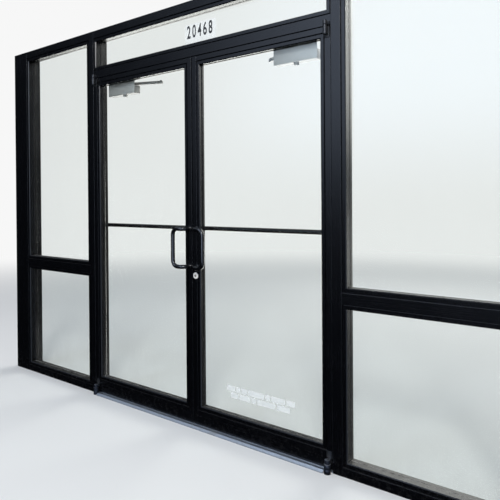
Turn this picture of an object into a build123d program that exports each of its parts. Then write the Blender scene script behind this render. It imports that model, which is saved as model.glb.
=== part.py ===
from build123d import *
from math import atan2, degrees
import os

# Frame of extruded tubes: a pair of doors, a transom over them and a side lite at each side.
# The origin is on the floor, in the middle of the doorway, in the plane of the frame's front.
OPENING_WIDTH = 1828.8
OPENING_HEIGHT = 2140.0
SIDE_LITE_WIDTH = 787.4
TRANSOM_LITE_HEIGHT = 221.4
MEMBER_FACE = 50.8
FRAME_DEPTH = 114.3
MEMBER_WALL = 3.0
MEMBER_ROUND = 1.2
SILL_FACE = 44.5
SIDE_RAIL_CENTRE = 842.5
CLOSURE_WIDTH = 120.0
CLOSURE_DEPTH = 40.0
CLOSURE_WALL = 3.0

# Glass, its gaskets and the snap-in stops that hold it
GLASS_THICKNESS = 6.35
GLASS_EDGE_GAP = 6.0
GLASS_SETBACK = 41.0
GASKET_THICKNESS = 3.0
GASKET_WIDTH = 7.0
BLOCK_LENGTH = 100.0
STOP_WIDTH = 25.4
STOP_WALL = 1.6
STOP_BEVEL = 4.0
STOP_GROOVE = 6.0
STOP_GROOVE_DEPTH = 9.0
STOP_SETBACK = 1.0
INNER_STOP_WIDTH = 19.0
INNER_STOP_DEPTH = 19.0
JOINT_GAP = 0.4

# Door leaves
JAMB_GAP = 3.2
MEETING_GAP = 6.35
HEAD_GAP = 3.0
FLOOR_GAP = 16.0
LEAF_SETBACK = 3.0
LEAF_THICKNESS = 44.5
LEAF_WALL = 3.0
STILE_BODY = 31.8
TOP_RAIL_BODY = 27.6
BOTTOM_RAIL_BODY = 84.0
LEAF_GASKET_THICKNESS = 2.5

# Stops and seals around the leaves
DOOR_STOP_FACE = 13.0
DOOR_STOP_DEPTH = 10.0
SEAL_THICKNESS = 1.5
SEAL_WIDTH = 7.0
SEAL_CLEARANCE = 3.5
MEETING_SEAL_REACH = 3.0

# Threshold
THRESHOLD_HEIGHT = 12.7
THRESHOLD_FRONT = -30.0
THRESHOLD_DEPTH = 114.3
THRESHOLD_TOE = 3.0
THRESHOLD_SLOPE = 12.0
THRESHOLD_CHANNEL = 24.0
THRESHOLD_RIB = 6.0
THRESHOLD_TOP_WALL = 3.7
THRESHOLD_FIRST_CHANNEL = 7.0

# Offset pivots that carry the leaves
PIVOT_INSET = 19.0
PIVOT_OFFSET = 19.0
PIVOT_PLATE = 3.0
PIVOT_PLATE_WIDTH = 26.0
PIVOT_PLATE_HEIGHT = 55.0
KNUCKLE_DIAMETER = 20.0
KNUCKLE_HEIGHT = 44.0
KNUCKLE_CAP = 21.0
KNUCKLE_GAP = 2.0
TOP_PIN_DIAMETER = 10.0
BASE_DIAMETER = 34.0
BASE_HEIGHT = 46.0
BASE_PIN_DIAMETER = 12.0
DISC_DIAMETER = 28.0
DISC_HEIGHT = 19.5
DISC_GAP = 0.5
NOTCH_CLEARANCE = 2.5
RUNNING_CLEARANCE = 0.05
BRIDGE_WIDTH = 16.0

# Pull handles outside and push bars inside
PULL_DIAMETER = 25.4
PULL_CENTRES = 220.0
PULL_HEIGHT = 1034.0
PULL_STAND_OFF = 44.0
PULL_OFFSET = 85.0
PULL_BEND = 36.0
HANDLE_INSET = 28.0
ROSE_DIAMETER = 34.0
ROSE_THICKNESS = 3.0
PUSH_DIAMETER = 25.4
PUSH_HEIGHT = 1144.0
PUSH_STAND_OFF = 42.5
PUSH_BEND = 30.0
PUSH_INSET = 15.9
PUSH_CLEARANCE = 3.0

# Closers on a drop plate, with arms that fold as a parallelogram about the door's pivot.
# Offsets run from the pivot axis towards the meeting stile and towards the room.
CLOSER_LENGTH = 250.0
CLOSER_HEIGHT = 50.0
CLOSER_DEPTH = 49.5
CLOSER_START = 87.0
CLOSER_DROP = 80.0
CLOSER_ROUND = 7.0
CLOSER_CAP_DIAMETER = 30.0
CLOSER_CAP_HEIGHT = 12.0
DROP_PLATE = 3.0
DROP_PLATE_INSET = 13.0
DROP_PLATE_MARGIN = 6.0
SPINDLE_INSET = 219.0
SPINDLE_REACH = 92.0
SHOE_INSET = 233.0
SHOE_REACH = 103.0
SPINDLE_DIAMETER = 14.0
SPINDLE_SEAT = 12.0
ARM_WIDTH = 18.0
ARM_THICKNESS = 8.0
ARM_LIFT = 12.0
ARM_GAP = 2.0
HUB_DIAMETER = 26.0
ARM_PIN_DIAMETER = 8.0
ELBOW_CLEARANCE = 0.3
SHOE_POST_DIAMETER = 18.0
SHOE_PLATE = 4.0
SHOE_LENGTH = 60.0
SHOE_WIDTH = 36.0

# Lock in the right leaf's meeting stile
LOCK_HEIGHT = 875.0
LOCK_BACKSET = 22.2
CYLINDER_DIAMETER = 29.2
CYLINDER_PROUD = 6.0
CYLINDER_CLEARANCE = 0.25
RING_DIAMETER = 36.0
RING_THICKNESS = 4.0
PLUG_DIAMETER = 13.0
PLUG_PROUD = 0.8
KEYWAY_WIDTH = 1.6
KEYWAY_HEIGHT = 8.5
KEYWAY_DEPTH = 12.0
FACEPLATE_WIDTH = 19.0
FACEPLATE_THICKNESS = 2.5
LOCK_PLATE_HEIGHT = 150.0
LOCK_CASE_DEPTH = 24.5
LOCK_CASE_HEIGHT = 140.0
LOCK_CASE_WALL = 1.5
BOLT_DROP = 9.0
BOLT_PIVOT_INSET = 13.3
BOLT_WIDTH = 16.0
BOLT_LENGTH = 41.0
BOLT_CLEARANCE = 0.5
BOLT_PIN_DIAMETER = 6.0
PLATE_CLEARANCE = 0.15
TURN_SHAFT_DIAMETER = 10.0
TURN_LENGTH = 34.0
TURN_THICKNESS = 6.0
TURN_REACH = 18.0

# Flush bolts in the left leaf's meeting stile
FLUSH_ROD_DIAMETER = 9.5
FLUSH_LEVER_FROM_END = 236.0
FLUSH_LEVER_HEIGHT = 20.0
FLUSH_LEVER_WIDTH = 8.0
FLUSH_LEVER_RECESS = 1.0
FLUSH_PLATE_HEIGHT = 120.0
FLUSH_GUIDE_HEIGHT = 20.0
FLUSH_GUIDE_INSET = 2.0
FLUSH_END_INSET = 1.0
TOP_THROW = 19.0
BOTTOM_THROW = 12.0
STRIKE_DIAMETER = 12.0

# Holes for the screws that fasten the frame in its wall
ANCHOR_DIAMETER = 8.0
ANCHOR_INSET = 300.0
HEAD_ANCHOR_SPACING = 1200.0
CLOSURE_ANCHOR_INSET = 30.0

# Places worked out from the sizes
HALF_OPENING = OPENING_WIDTH / 2
TRANSOM_BAR_TOP = OPENING_HEIGHT + MEMBER_FACE
HEAD_BOTTOM = TRANSOM_BAR_TOP + TRANSOM_LITE_HEIGHT
FRAME_TOP = HEAD_BOTTOM + MEMBER_FACE
SIDE_IN = HALF_OPENING + MEMBER_FACE
SIDE_OUT = SIDE_IN + SIDE_LITE_WIDTH
FRAME_END = SIDE_OUT + MEMBER_FACE
SIDE_RAIL_BOTTOM = SIDE_RAIL_CENTRE - MEMBER_FACE / 2
SIDE_RAIL_TOP = SIDE_RAIL_CENTRE + MEMBER_FACE / 2
GLASS_BACK = GLASS_SETBACK + GLASS_THICKNESS
OUTER_STOP_DEPTH = GLASS_SETBACK - GASKET_THICKNESS - STOP_SETBACK
INNER_STOP_FACE = GLASS_BACK + GASKET_THICKNESS + INNER_STOP_DEPTH

LEAF_IN = MEETING_GAP / 2
LEAF_OUT = HALF_OPENING - JAMB_GAP
LEAF_TOP = OPENING_HEIGHT - HEAD_GAP
LEAF_BACK = LEAF_SETBACK + LEAF_THICKNESS
LEAF_MIDDLE = LEAF_SETBACK + LEAF_THICKNESS / 2
STILE_IN = LEAF_IN + STILE_BODY
STILE_OUT = LEAF_OUT - STILE_BODY
LEAF_GLASS_FRONT = LEAF_MIDDLE - GLASS_THICKNESS / 2
LEAF_GLASS_BACK = LEAF_MIDDLE + GLASS_THICKNESS / 2
LEAF_STOP_DEPTH = LEAF_GLASS_FRONT - LEAF_GASKET_THICKNESS - LEAF_SETBACK
LEAF_LITE = (STILE_IN, STILE_OUT, FLOOR_GAP + BOTTOM_RAIL_BODY, LEAF_TOP - TOP_RAIL_BODY)

PIVOT_X = LEAF_OUT - PIVOT_INSET
PIVOT_Y = LEAF_SETBACK - PIVOT_OFFSET
SEAL_FRONT = LEAF_BACK + SEAL_CLEARANCE
DOOR_STOP_FRONT = SEAL_FRONT + SEAL_THICKNESS
DOOR_STOP_BACK = DOOR_STOP_FRONT + DOOR_STOP_DEPTH

SIDE_LOWER = (SIDE_IN, SIDE_OUT, SILL_FACE, SIDE_RAIL_BOTTOM)
SIDE_UPPER = (SIDE_IN, SIDE_OUT, SIDE_RAIL_TOP, HEAD_BOTTOM)
TRANSOM = (-HALF_OPENING, HALF_OPENING, TRANSOM_BAR_TOP, HEAD_BOTTOM)

os.makedirs("parts", exist_ok=True)


def save(piece, name):
    piece.part.label = name
    export_step(piece.part, f"parts/{name}.step")


# A tube with lightly rounded corners, its length centred on the plane
def tube(place, width, depth, length, wall):
    with BuildPart() as made:
        with BuildSketch(place):
            RectangleRounded(width, depth, MEMBER_ROUND)
            Rectangle(width - 2 * wall, depth - 2 * wall, mode=Mode.SUBTRACT)
        extrude(amount=length / 2, both=True)
    return made.part


def upright(left, right, bottom, top, front, back, wall):
    middle = ((left + right) / 2, (front + back) / 2, (bottom + top) / 2)
    return tube(Plane(origin=middle), right - left, back - front, top - bottom, wall)


def crossbar(left, right, bottom, top, front, back, wall):
    middle = ((left + right) / 2, (front + back) / 2, (bottom + top) / 2)
    place = Plane(origin=middle, x_dir=(0, 1, 0), z_dir=(1, 0, 0))
    return tube(place, back - front, top - bottom, right - left, wall)


# A solid block between two corners
def block(left, right, front, back, bottom, top):
    with BuildPart(Plane(origin=(left, front, bottom))) as made:
        Box(right - left, back - front, top - bottom, align=(Align.MIN, Align.MIN, Align.MIN))
    return made.part


# A plane that faces the room, for sketches in elevation
def elevation(x, y, z):
    return Plane(origin=(x, y, z), x_dir=(1, 0, 0), z_dir=(0, 1, 0))


# A round bar along the depth of the door, from its front to its back
def round_through(x, z, front, back, diameter):
    with BuildPart() as made:
        with BuildSketch(elevation(x, front, z)):
            Circle(diameter / 2)
        extrude(amount=back - front)
    return made.part


# A round bar that stands on a level plane
def post(x, y, bottom, top, diameter):
    with BuildPart() as made:
        with BuildSketch(Plane(origin=(x, y, bottom))):
            Circle(diameter / 2)
        extrude(amount=top - bottom)
    return made.part


def pane(lite, front):
    left, right, bottom, top = lite
    return block(left + GLASS_EDGE_GAP, right - GLASS_EDGE_GAP, front, front + GLASS_THICKNESS,
                 bottom + GLASS_EDGE_GAP, top - GLASS_EDGE_GAP)


# One stop: a bent channel with a bevelled edge, a groove beside the member and a tongue that meets it.
# Its ends are cut as mitres. Across runs from the member to the glass's middle, inward to the glass itself.
def stop_bar(across, inward, middle, length, width, depth, bevel):
    along = across.cross(inward)
    corner = STOP_WALL * (2 ** 0.5 - 1)
    tongue = STOP_GROOVE_DEPTH + STOP_WALL
    half = length / 2 - JOINT_GAP
    with BuildPart() as made:
        with BuildSketch(Plane(origin=middle, x_dir=across, z_dir=along)):
            with BuildLine():
                Polyline(
                    (STOP_GROOVE, 0),
                    (width - bevel, 0),
                    (width, bevel),
                    (width, depth),
                    (width - STOP_WALL, depth),
                    (width - STOP_WALL, bevel + corner),
                    (width - bevel - corner, STOP_WALL),
                    (STOP_GROOVE + STOP_WALL, STOP_WALL),
                    (STOP_GROOVE + STOP_WALL, tongue),
                    (0, tongue),
                    (0, STOP_GROOVE_DEPTH),
                    (STOP_GROOVE, STOP_GROOVE_DEPTH),
                    close=True,
                )
            make_face()
        extrude(amount=length / 2, both=True)
        with BuildSketch(Plane(origin=middle, x_dir=along, z_dir=inward)):
            with BuildLine():
                Polyline((-half, 0), (half, 0), (half - width, width), (width - half, width), close=True)
            make_face()
        extrude(amount=depth, mode=Mode.INTERSECT)
    return made.part


# Four stops around a lite, from their visible face towards the glass
def stop_frame(lite, face, towards_glass, width, depth, bevel):
    left, right, bottom, top = lite
    middle_x = (left + right) / 2
    middle_z = (bottom + top) / 2
    bars = (
        (Vector(0, 0, 1), (middle_x, face, bottom), right - left),
        (Vector(0, 0, -1), (middle_x, face, top), right - left),
        (Vector(1, 0, 0), (left, face, middle_z), top - bottom),
        (Vector(-1, 0, 0), (right, face, middle_z), top - bottom),
    )
    with BuildPart() as made:
        for across, middle, length in bars:
            add(stop_bar(across, Vector(0, towards_glass, 0), middle, length, width, depth, bevel))
    return made.part


# The gasket on one face of a pane, at the edge of its stops
def gasket(lite, stop_width, front, thickness):
    left, right, bottom, top = lite
    wide = right - left - 2 * stop_width
    high = top - bottom - 2 * stop_width
    with BuildPart() as made:
        with BuildSketch(elevation((left + right) / 2, front, (bottom + top) / 2)):
            Rectangle(wide + 2 * GASKET_WIDTH, high + 2 * GASKET_WIDTH)
            Rectangle(wide, high, mode=Mode.SUBTRACT)
        extrude(amount=thickness)
    return made.part


# Two rubber blocks that carry the pane's lower edge
def setting_blocks(lite, front):
    left, right, bottom, _ = lite
    quarter = (right - left) / 4
    with BuildPart() as made:
        for middle in (left + quarter, right - quarter):
            add(block(middle - BLOCK_LENGTH / 2, middle + BLOCK_LENGTH / 2, front, front + GLASS_THICKNESS,
                      bottom, bottom + GLASS_EDGE_GAP))
    return made.part


# Frame
with BuildPart() as left_closure:
    with BuildSketch(Plane.XY):
        with Locations((-FRAME_END - CLOSURE_WIDTH / 2, CLOSURE_DEPTH / 2)):
            Rectangle(CLOSURE_WIDTH, CLOSURE_DEPTH)
        with Locations((-FRAME_END - CLOSURE_WIDTH / 2, (CLOSURE_DEPTH + CLOSURE_WALL) / 2)):
            Rectangle(CLOSURE_WIDTH - 2 * CLOSURE_WALL, CLOSURE_DEPTH - CLOSURE_WALL, mode=Mode.SUBTRACT)
    extrude(amount=FRAME_TOP)
    for height in (ANCHOR_INSET, FRAME_TOP - ANCHOR_INSET):
        with Locations(Plane(origin=(-FRAME_END - CLOSURE_WIDTH, CLOSURE_ANCHOR_INSET, height), z_dir=(-1, 0, 0))):
            Hole(ANCHOR_DIAMETER / 2, depth=CLOSURE_WALL)

with BuildPart() as left_jamb:
    add(upright(-FRAME_END, -SIDE_OUT, 0, FRAME_TOP, 0, FRAME_DEPTH, MEMBER_WALL))

with BuildPart() as left_mullion:
    add(upright(-SIDE_IN, -HALF_OPENING, 0, FRAME_TOP, 0, FRAME_DEPTH, MEMBER_WALL))

with BuildPart() as right_mullion:
    add(upright(HALF_OPENING, SIDE_IN, 0, FRAME_TOP, 0, FRAME_DEPTH, MEMBER_WALL))

with BuildPart() as right_jamb:
    add(upright(SIDE_OUT, FRAME_END, 0, FRAME_TOP, 0, FRAME_DEPTH, MEMBER_WALL))
    for height in (ANCHOR_INSET, FRAME_TOP - ANCHOR_INSET):
        with Locations(Plane(origin=(FRAME_END, FRAME_DEPTH / 2, height), z_dir=(1, 0, 0))):
            Hole(ANCHOR_DIAMETER / 2, depth=MEMBER_FACE)

with BuildPart() as center_head:
    add(crossbar(-HALF_OPENING, HALF_OPENING, HEAD_BOTTOM, FRAME_TOP, 0, FRAME_DEPTH, MEMBER_WALL))
    for offset in (-HEAD_ANCHOR_SPACING / 2, HEAD_ANCHOR_SPACING / 2):
        with Locations(Plane(origin=(offset, FRAME_DEPTH / 2, FRAME_TOP))):
            Hole(ANCHOR_DIAMETER / 2, depth=MEMBER_FACE)

FLUSH_X = -(LEAF_IN + STILE_BODY / 2)
with BuildPart() as transom_bar:
    add(crossbar(-HALF_OPENING, HALF_OPENING, OPENING_HEIGHT, TRANSOM_BAR_TOP, 0, FRAME_DEPTH, MEMBER_WALL))
    with Locations(Plane(origin=(FLUSH_X, LEAF_MIDDLE, OPENING_HEIGHT), z_dir=(0, 0, -1))):
        Hole(STRIKE_DIAMETER / 2, depth=MEMBER_WALL)

side_pairs = {}
for name, bottom, top in (
    ("side_heads", HEAD_BOTTOM, FRAME_TOP),
    ("side_rails", SIDE_RAIL_BOTTOM, SIDE_RAIL_TOP),
    ("side_sills", 0, SILL_FACE),
):
    with BuildPart() as side_pair:
        add(crossbar(-SIDE_OUT, -SIDE_IN, bottom, top, 0, FRAME_DEPTH, MEMBER_WALL))
        add(crossbar(SIDE_IN, SIDE_OUT, bottom, top, 0, FRAME_DEPTH, MEMBER_WALL))
    side_pairs[name] = side_pair

# Threshold: a sloped saddle, hollow below, cut back around the two floor pivots
THRESHOLD_BACK = THRESHOLD_FRONT + THRESHOLD_DEPTH
with BuildPart() as threshold:
    with BuildSketch(Plane.YZ):
        with BuildLine():
            Polyline(
                (THRESHOLD_FRONT, 0),
                (THRESHOLD_FRONT, THRESHOLD_TOE),
                (THRESHOLD_FRONT + THRESHOLD_SLOPE, THRESHOLD_HEIGHT),
                (THRESHOLD_BACK - THRESHOLD_SLOPE, THRESHOLD_HEIGHT),
                (THRESHOLD_BACK, THRESHOLD_TOE),
                (THRESHOLD_BACK, 0),
                close=True,
            )
        make_face()
        for count in (0, 1):
            start = THRESHOLD_FIRST_CHANNEL + count * (THRESHOLD_CHANNEL + THRESHOLD_RIB)
            with Locations((start + THRESHOLD_CHANNEL / 2, 0)):
                Rectangle(THRESHOLD_CHANNEL, 2 * (THRESHOLD_HEIGHT - THRESHOLD_TOP_WALL), mode=Mode.SUBTRACT)
    extrude(amount=HALF_OPENING, both=True)
    notch_reach = BASE_DIAMETER / 2 + NOTCH_CLEARANCE
    for side in (-1, 1):
        with Locations((side * HALF_OPENING, THRESHOLD_FRONT, THRESHOLD_HEIGHT / 2)):
            Box(2 * (HALF_OPENING - PIVOT_X + notch_reach), 2 * (PIVOT_Y + notch_reach - THRESHOLD_FRONT),
                2 * THRESHOLD_HEIGHT, mode=Mode.SUBTRACT)
    with Locations(Plane(origin=(FLUSH_X, LEAF_MIDDLE, THRESHOLD_HEIGHT))):
        Hole(STRIKE_DIAMETER / 2, depth=THRESHOLD_HEIGHT)

# Glass, stops and rubber of the fixed lites
def frame_stops(lites):
    with BuildPart() as made:
        for lite in lites:
            add(stop_frame(lite, STOP_SETBACK, 1, STOP_WIDTH, OUTER_STOP_DEPTH, STOP_BEVEL))
            add(stop_frame(lite, INNER_STOP_FACE, -1, INNER_STOP_WIDTH, INNER_STOP_DEPTH, STOP_BEVEL))
    return made


with BuildPart() as right_lite_glass:
    add(pane(SIDE_LOWER, GLASS_SETBACK))
    add(pane(SIDE_UPPER, GLASS_SETBACK))

with BuildPart() as left_lite_glass:
    mirror(right_lite_glass.part, about=Plane.YZ)

with BuildPart() as transom_glass:
    add(pane(TRANSOM, GLASS_SETBACK))

right_lite_stops = frame_stops((SIDE_LOWER, SIDE_UPPER))
with BuildPart() as left_lite_stops:
    mirror(right_lite_stops.part, about=Plane.YZ)
transom_stops = frame_stops((TRANSOM,))

with BuildPart() as right_lite_rubber:
    for lite in (SIDE_LOWER, SIDE_UPPER):
        add(gasket(lite, STOP_WIDTH, GLASS_SETBACK - GASKET_THICKNESS, GASKET_THICKNESS))
        add(gasket(lite, INNER_STOP_WIDTH, GLASS_BACK, GASKET_THICKNESS))
        add(setting_blocks(lite, GLASS_SETBACK))
with BuildPart() as lite_rubber:
    add(right_lite_rubber.part)
    mirror(right_lite_rubber.part, about=Plane.YZ)
    add(gasket(TRANSOM, STOP_WIDTH, GLASS_SETBACK - GASKET_THICKNESS, GASKET_THICKNESS))
    add(gasket(TRANSOM, INNER_STOP_WIDTH, GLASS_BACK, GASKET_THICKNESS))
    add(setting_blocks(TRANSOM, GLASS_SETBACK))

# Door stops and their pile seals, behind the leaves
with BuildPart() as door_stops:
    add(block(-HALF_OPENING, HALF_OPENING, DOOR_STOP_FRONT, DOOR_STOP_BACK,
              OPENING_HEIGHT - DOOR_STOP_FACE, OPENING_HEIGHT))
    for left in (-HALF_OPENING, HALF_OPENING - DOOR_STOP_FACE):
        add(block(left, left + DOOR_STOP_FACE, DOOR_STOP_FRONT, DOOR_STOP_BACK,
                  THRESHOLD_HEIGHT, OPENING_HEIGHT - DOOR_STOP_FACE - JOINT_GAP))

seal_inset = (DOOR_STOP_FACE - SEAL_WIDTH) / 2
seal_height = OPENING_HEIGHT - DOOR_STOP_FACE + seal_inset
with BuildPart() as weatherstrips:
    add(block(-HALF_OPENING, HALF_OPENING, SEAL_FRONT, DOOR_STOP_FRONT, seal_height, seal_height + SEAL_WIDTH))
    for left in (-HALF_OPENING + seal_inset, HALF_OPENING - seal_inset - SEAL_WIDTH):
        add(block(left, left + SEAL_WIDTH, SEAL_FRONT, DOOR_STOP_FRONT,
                  THRESHOLD_HEIGHT, OPENING_HEIGHT - DOOR_STOP_FACE - JOINT_GAP))

# Pivots: the halves that stay on the frame and on the floor
KNUCKLE_TOP = OPENING_HEIGHT - KNUCKLE_GAP / 2
KNUCKLE_BOTTOM = KNUCKLE_TOP - KNUCKLE_HEIGHT
BRACKET_BOTTOM = OPENING_HEIGHT + KNUCKLE_GAP / 2
BRACKET_TOP = BRACKET_BOTTOM + KNUCKLE_CAP
with BuildPart() as right_top_bracket:
    add(post(PIVOT_X, PIVOT_Y, BRACKET_BOTTOM, BRACKET_TOP, KNUCKLE_DIAMETER))
    add(post(PIVOT_X, PIVOT_Y, KNUCKLE_BOTTOM + KNUCKLE_GAP, BRACKET_TOP, TOP_PIN_DIAMETER))
    add(block(PIVOT_X - BRIDGE_WIDTH / 2, PIVOT_X + BRIDGE_WIDTH / 2, PIVOT_Y, 0, BRACKET_BOTTOM, BRACKET_TOP))
    add(block(PIVOT_X - PIVOT_PLATE_WIDTH / 2, PIVOT_X + PIVOT_PLATE_WIDTH / 2, -PIVOT_PLATE, 0,
              BRACKET_BOTTOM, BRACKET_TOP))
with BuildPart() as top_pivot_brackets:
    add(right_top_bracket.part)
    mirror(right_top_bracket.part, about=Plane.YZ)

DISC_BOTTOM = BASE_HEIGHT + DISC_GAP
DISC_TOP = DISC_BOTTOM + DISC_HEIGHT
with BuildPart() as right_pivot_base:
    add(post(PIVOT_X, PIVOT_Y, 0, BASE_HEIGHT, BASE_DIAMETER))
    add(post(PIVOT_X, PIVOT_Y, 0, DISC_TOP - KNUCKLE_GAP, BASE_PIN_DIAMETER))
with BuildPart() as bottom_pivot_bases:
    add(right_pivot_base.part)
    mirror(right_pivot_base.part, about=Plane.YZ)

# Closer shoes under the transom bar: a plate, a post and the pin that the forearm turns on
CLOSER_TOP = OPENING_HEIGHT - CLOSER_DROP
SPINDLE = (PIVOT_X - SPINDLE_INSET, PIVOT_Y + SPINDLE_REACH)
SHOE = (PIVOT_X - SHOE_INSET, PIVOT_Y + SHOE_REACH)
ELBOW = (PIVOT_X - SPINDLE_INSET - SHOE_INSET, PIVOT_Y + SPINDLE_REACH + SHOE_REACH)
ARM_BOTTOM = CLOSER_TOP + ARM_LIFT
ARM_TOP = ARM_BOTTOM + ARM_THICKNESS
FOREARM_BOTTOM = ARM_TOP + ARM_GAP
FOREARM_TOP = FOREARM_BOTTOM + ARM_THICKNESS
SHOE_FRONT = SHOE[1] - SHOE_WIDTH / 2
with BuildPart() as right_shoe:
    add(post(*SHOE, FOREARM_TOP + ELBOW_CLEARANCE, OPENING_HEIGHT, SHOE_POST_DIAMETER))
    add(post(*SHOE, FOREARM_BOTTOM, OPENING_HEIGHT, ARM_PIN_DIAMETER))
    add(block(SHOE[0] - SHOE_LENGTH / 2, SHOE[0] + SHOE_LENGTH / 2, SHOE_FRONT, SHOE_FRONT + SHOE_WIDTH,
              OPENING_HEIGHT - SHOE_PLATE, OPENING_HEIGHT))
with BuildPart() as closer_shoes:
    add(right_shoe.part)
    mirror(right_shoe.part, about=Plane.YZ)

for name, piece in {
    "left_closure": left_closure,
    "left_jamb": left_jamb,
    "left_mullion": left_mullion,
    "right_mullion": right_mullion,
    "right_jamb": right_jamb,
    "center_head": center_head,
    "transom_bar": transom_bar,
    **side_pairs,
    "threshold": threshold,
    "left_lite_glass": left_lite_glass,
    "transom_glass": transom_glass,
    "right_lite_glass": right_lite_glass,
    "left_lite_stops": left_lite_stops,
    "transom_stops": transom_stops,
    "right_lite_stops": right_lite_stops,
    "lite_rubber": lite_rubber,
    "door_stops": door_stops,
    "weatherstrips": weatherstrips,
    "top_pivot_brackets": top_pivot_brackets,
    "bottom_pivot_bases": bottom_pivot_bases,
    "closer_shoes": closer_shoes,
}.items():
    save(piece, name)

# The leaf, drawn as the right-hand one; the left-hand one mirrors it
with BuildPart() as hinge_stile:
    add(upright(STILE_OUT, LEAF_OUT, FLOOR_GAP, LEAF_TOP, LEAF_SETBACK, LEAF_BACK, LEAF_WALL))

with BuildPart() as top_rail:
    add(crossbar(STILE_IN, STILE_OUT, LEAF_TOP - TOP_RAIL_BODY, LEAF_TOP, LEAF_SETBACK, LEAF_BACK, LEAF_WALL))

with BuildPart() as bottom_rail:
    add(crossbar(STILE_IN, STILE_OUT, FLOOR_GAP, FLOOR_GAP + BOTTOM_RAIL_BODY, LEAF_SETBACK, LEAF_BACK, LEAF_WALL))

with BuildPart() as glass:
    add(pane(LEAF_LITE, LEAF_GLASS_FRONT))

with BuildPart() as rubber:
    add(gasket(LEAF_LITE, STOP_WIDTH, LEAF_GLASS_FRONT - LEAF_GASKET_THICKNESS, LEAF_GASKET_THICKNESS))
    add(gasket(LEAF_LITE, STOP_WIDTH, LEAF_GLASS_BACK, LEAF_GASKET_THICKNESS))
    add(setting_blocks(LEAF_LITE, LEAF_GLASS_FRONT))

# Pull handle: one bent round bar that stands off the meeting stile and reaches over the glass
HANDLE_X = LEAF_IN + HANDLE_INSET
PULL_Y = LEAF_SETBACK - PULL_STAND_OFF
pull_top = PULL_HEIGHT + PULL_CENTRES / 2
pull_bottom = PULL_HEIGHT - PULL_CENTRES / 2
with BuildPart() as pull_handle:
    with BuildLine() as pull_path:
        FilletPolyline(
            (HANDLE_X, LEAF_SETBACK, pull_top),
            (HANDLE_X, PULL_Y, pull_top),
            (HANDLE_X + PULL_OFFSET, PULL_Y, pull_top),
            (HANDLE_X + PULL_OFFSET, PULL_Y, pull_bottom),
            (HANDLE_X, PULL_Y, pull_bottom),
            (HANDLE_X, LEAF_SETBACK, pull_bottom),
            radius=PULL_BEND,
        )
    with BuildSketch(Plane(origin=pull_path.line @ 0, z_dir=pull_path.line % 0)):
        Circle(PULL_DIAMETER / 2)
    sweep()
    for height in (pull_top, pull_bottom):
        add(round_through(HANDLE_X, height, LEAF_SETBACK - ROSE_THICKNESS, LEAF_SETBACK, ROSE_DIAMETER))

# Push bar: a round bar across the room side of the leaf, bent back to both stiles
PUSH_Y = LEAF_BACK + PUSH_STAND_OFF
push_in = LEAF_IN + PUSH_INSET
push_out = HALF_OPENING - DOOR_STOP_FACE - PUSH_CLEARANCE - PUSH_DIAMETER / 2
with BuildPart() as push_bar:
    with BuildLine() as push_path:
        FilletPolyline(
            (push_in, LEAF_BACK, PUSH_HEIGHT),
            (push_in, PUSH_Y, PUSH_HEIGHT),
            (push_out, PUSH_Y, PUSH_HEIGHT),
            (push_out, LEAF_BACK, PUSH_HEIGHT),
            radius=PUSH_BEND,
        )
    with BuildSketch(Plane(origin=push_path.line @ 0, z_dir=push_path.line % 0)):
        Circle(PUSH_DIAMETER / 2)
    sweep()

# Pivot halves that turn with the leaf
with BuildPart() as top_pivot_arm:
    add(post(PIVOT_X, PIVOT_Y, KNUCKLE_BOTTOM, KNUCKLE_TOP, KNUCKLE_DIAMETER))
    add(block(PIVOT_X - BRIDGE_WIDTH / 2, PIVOT_X + BRIDGE_WIDTH / 2, PIVOT_Y, LEAF_SETBACK,
              KNUCKLE_BOTTOM, LEAF_TOP - KNUCKLE_GAP))
    add(block(PIVOT_X - PIVOT_PLATE_WIDTH / 2, PIVOT_X + PIVOT_PLATE_WIDTH / 2, LEAF_SETBACK - PIVOT_PLATE,
              LEAF_SETBACK, LEAF_TOP - PIVOT_PLATE_HEIGHT, LEAF_TOP))
    add(post(PIVOT_X, PIVOT_Y, KNUCKLE_BOTTOM, KNUCKLE_TOP, TOP_PIN_DIAMETER + 2 * RUNNING_CLEARANCE),
        mode=Mode.SUBTRACT)

with BuildPart() as bottom_pivot_arm:
    add(post(PIVOT_X, PIVOT_Y, DISC_BOTTOM, DISC_TOP, DISC_DIAMETER))
    add(block(PIVOT_X - BRIDGE_WIDTH / 2, PIVOT_X + BRIDGE_WIDTH / 2, PIVOT_Y, LEAF_SETBACK,
              DISC_BOTTOM, DISC_TOP))
    add(block(PIVOT_X - PIVOT_PLATE_WIDTH / 2, PIVOT_X + PIVOT_PLATE_WIDTH / 2, LEAF_SETBACK - PIVOT_PLATE,
              LEAF_SETBACK, DISC_BOTTOM, DISC_BOTTOM + PIVOT_PLATE_HEIGHT))
    add(post(PIVOT_X, PIVOT_Y, DISC_BOTTOM, DISC_TOP - KNUCKLE_GAP / 2,
             BASE_PIN_DIAMETER + 2 * RUNNING_CLEARANCE), mode=Mode.SUBTRACT)

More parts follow.
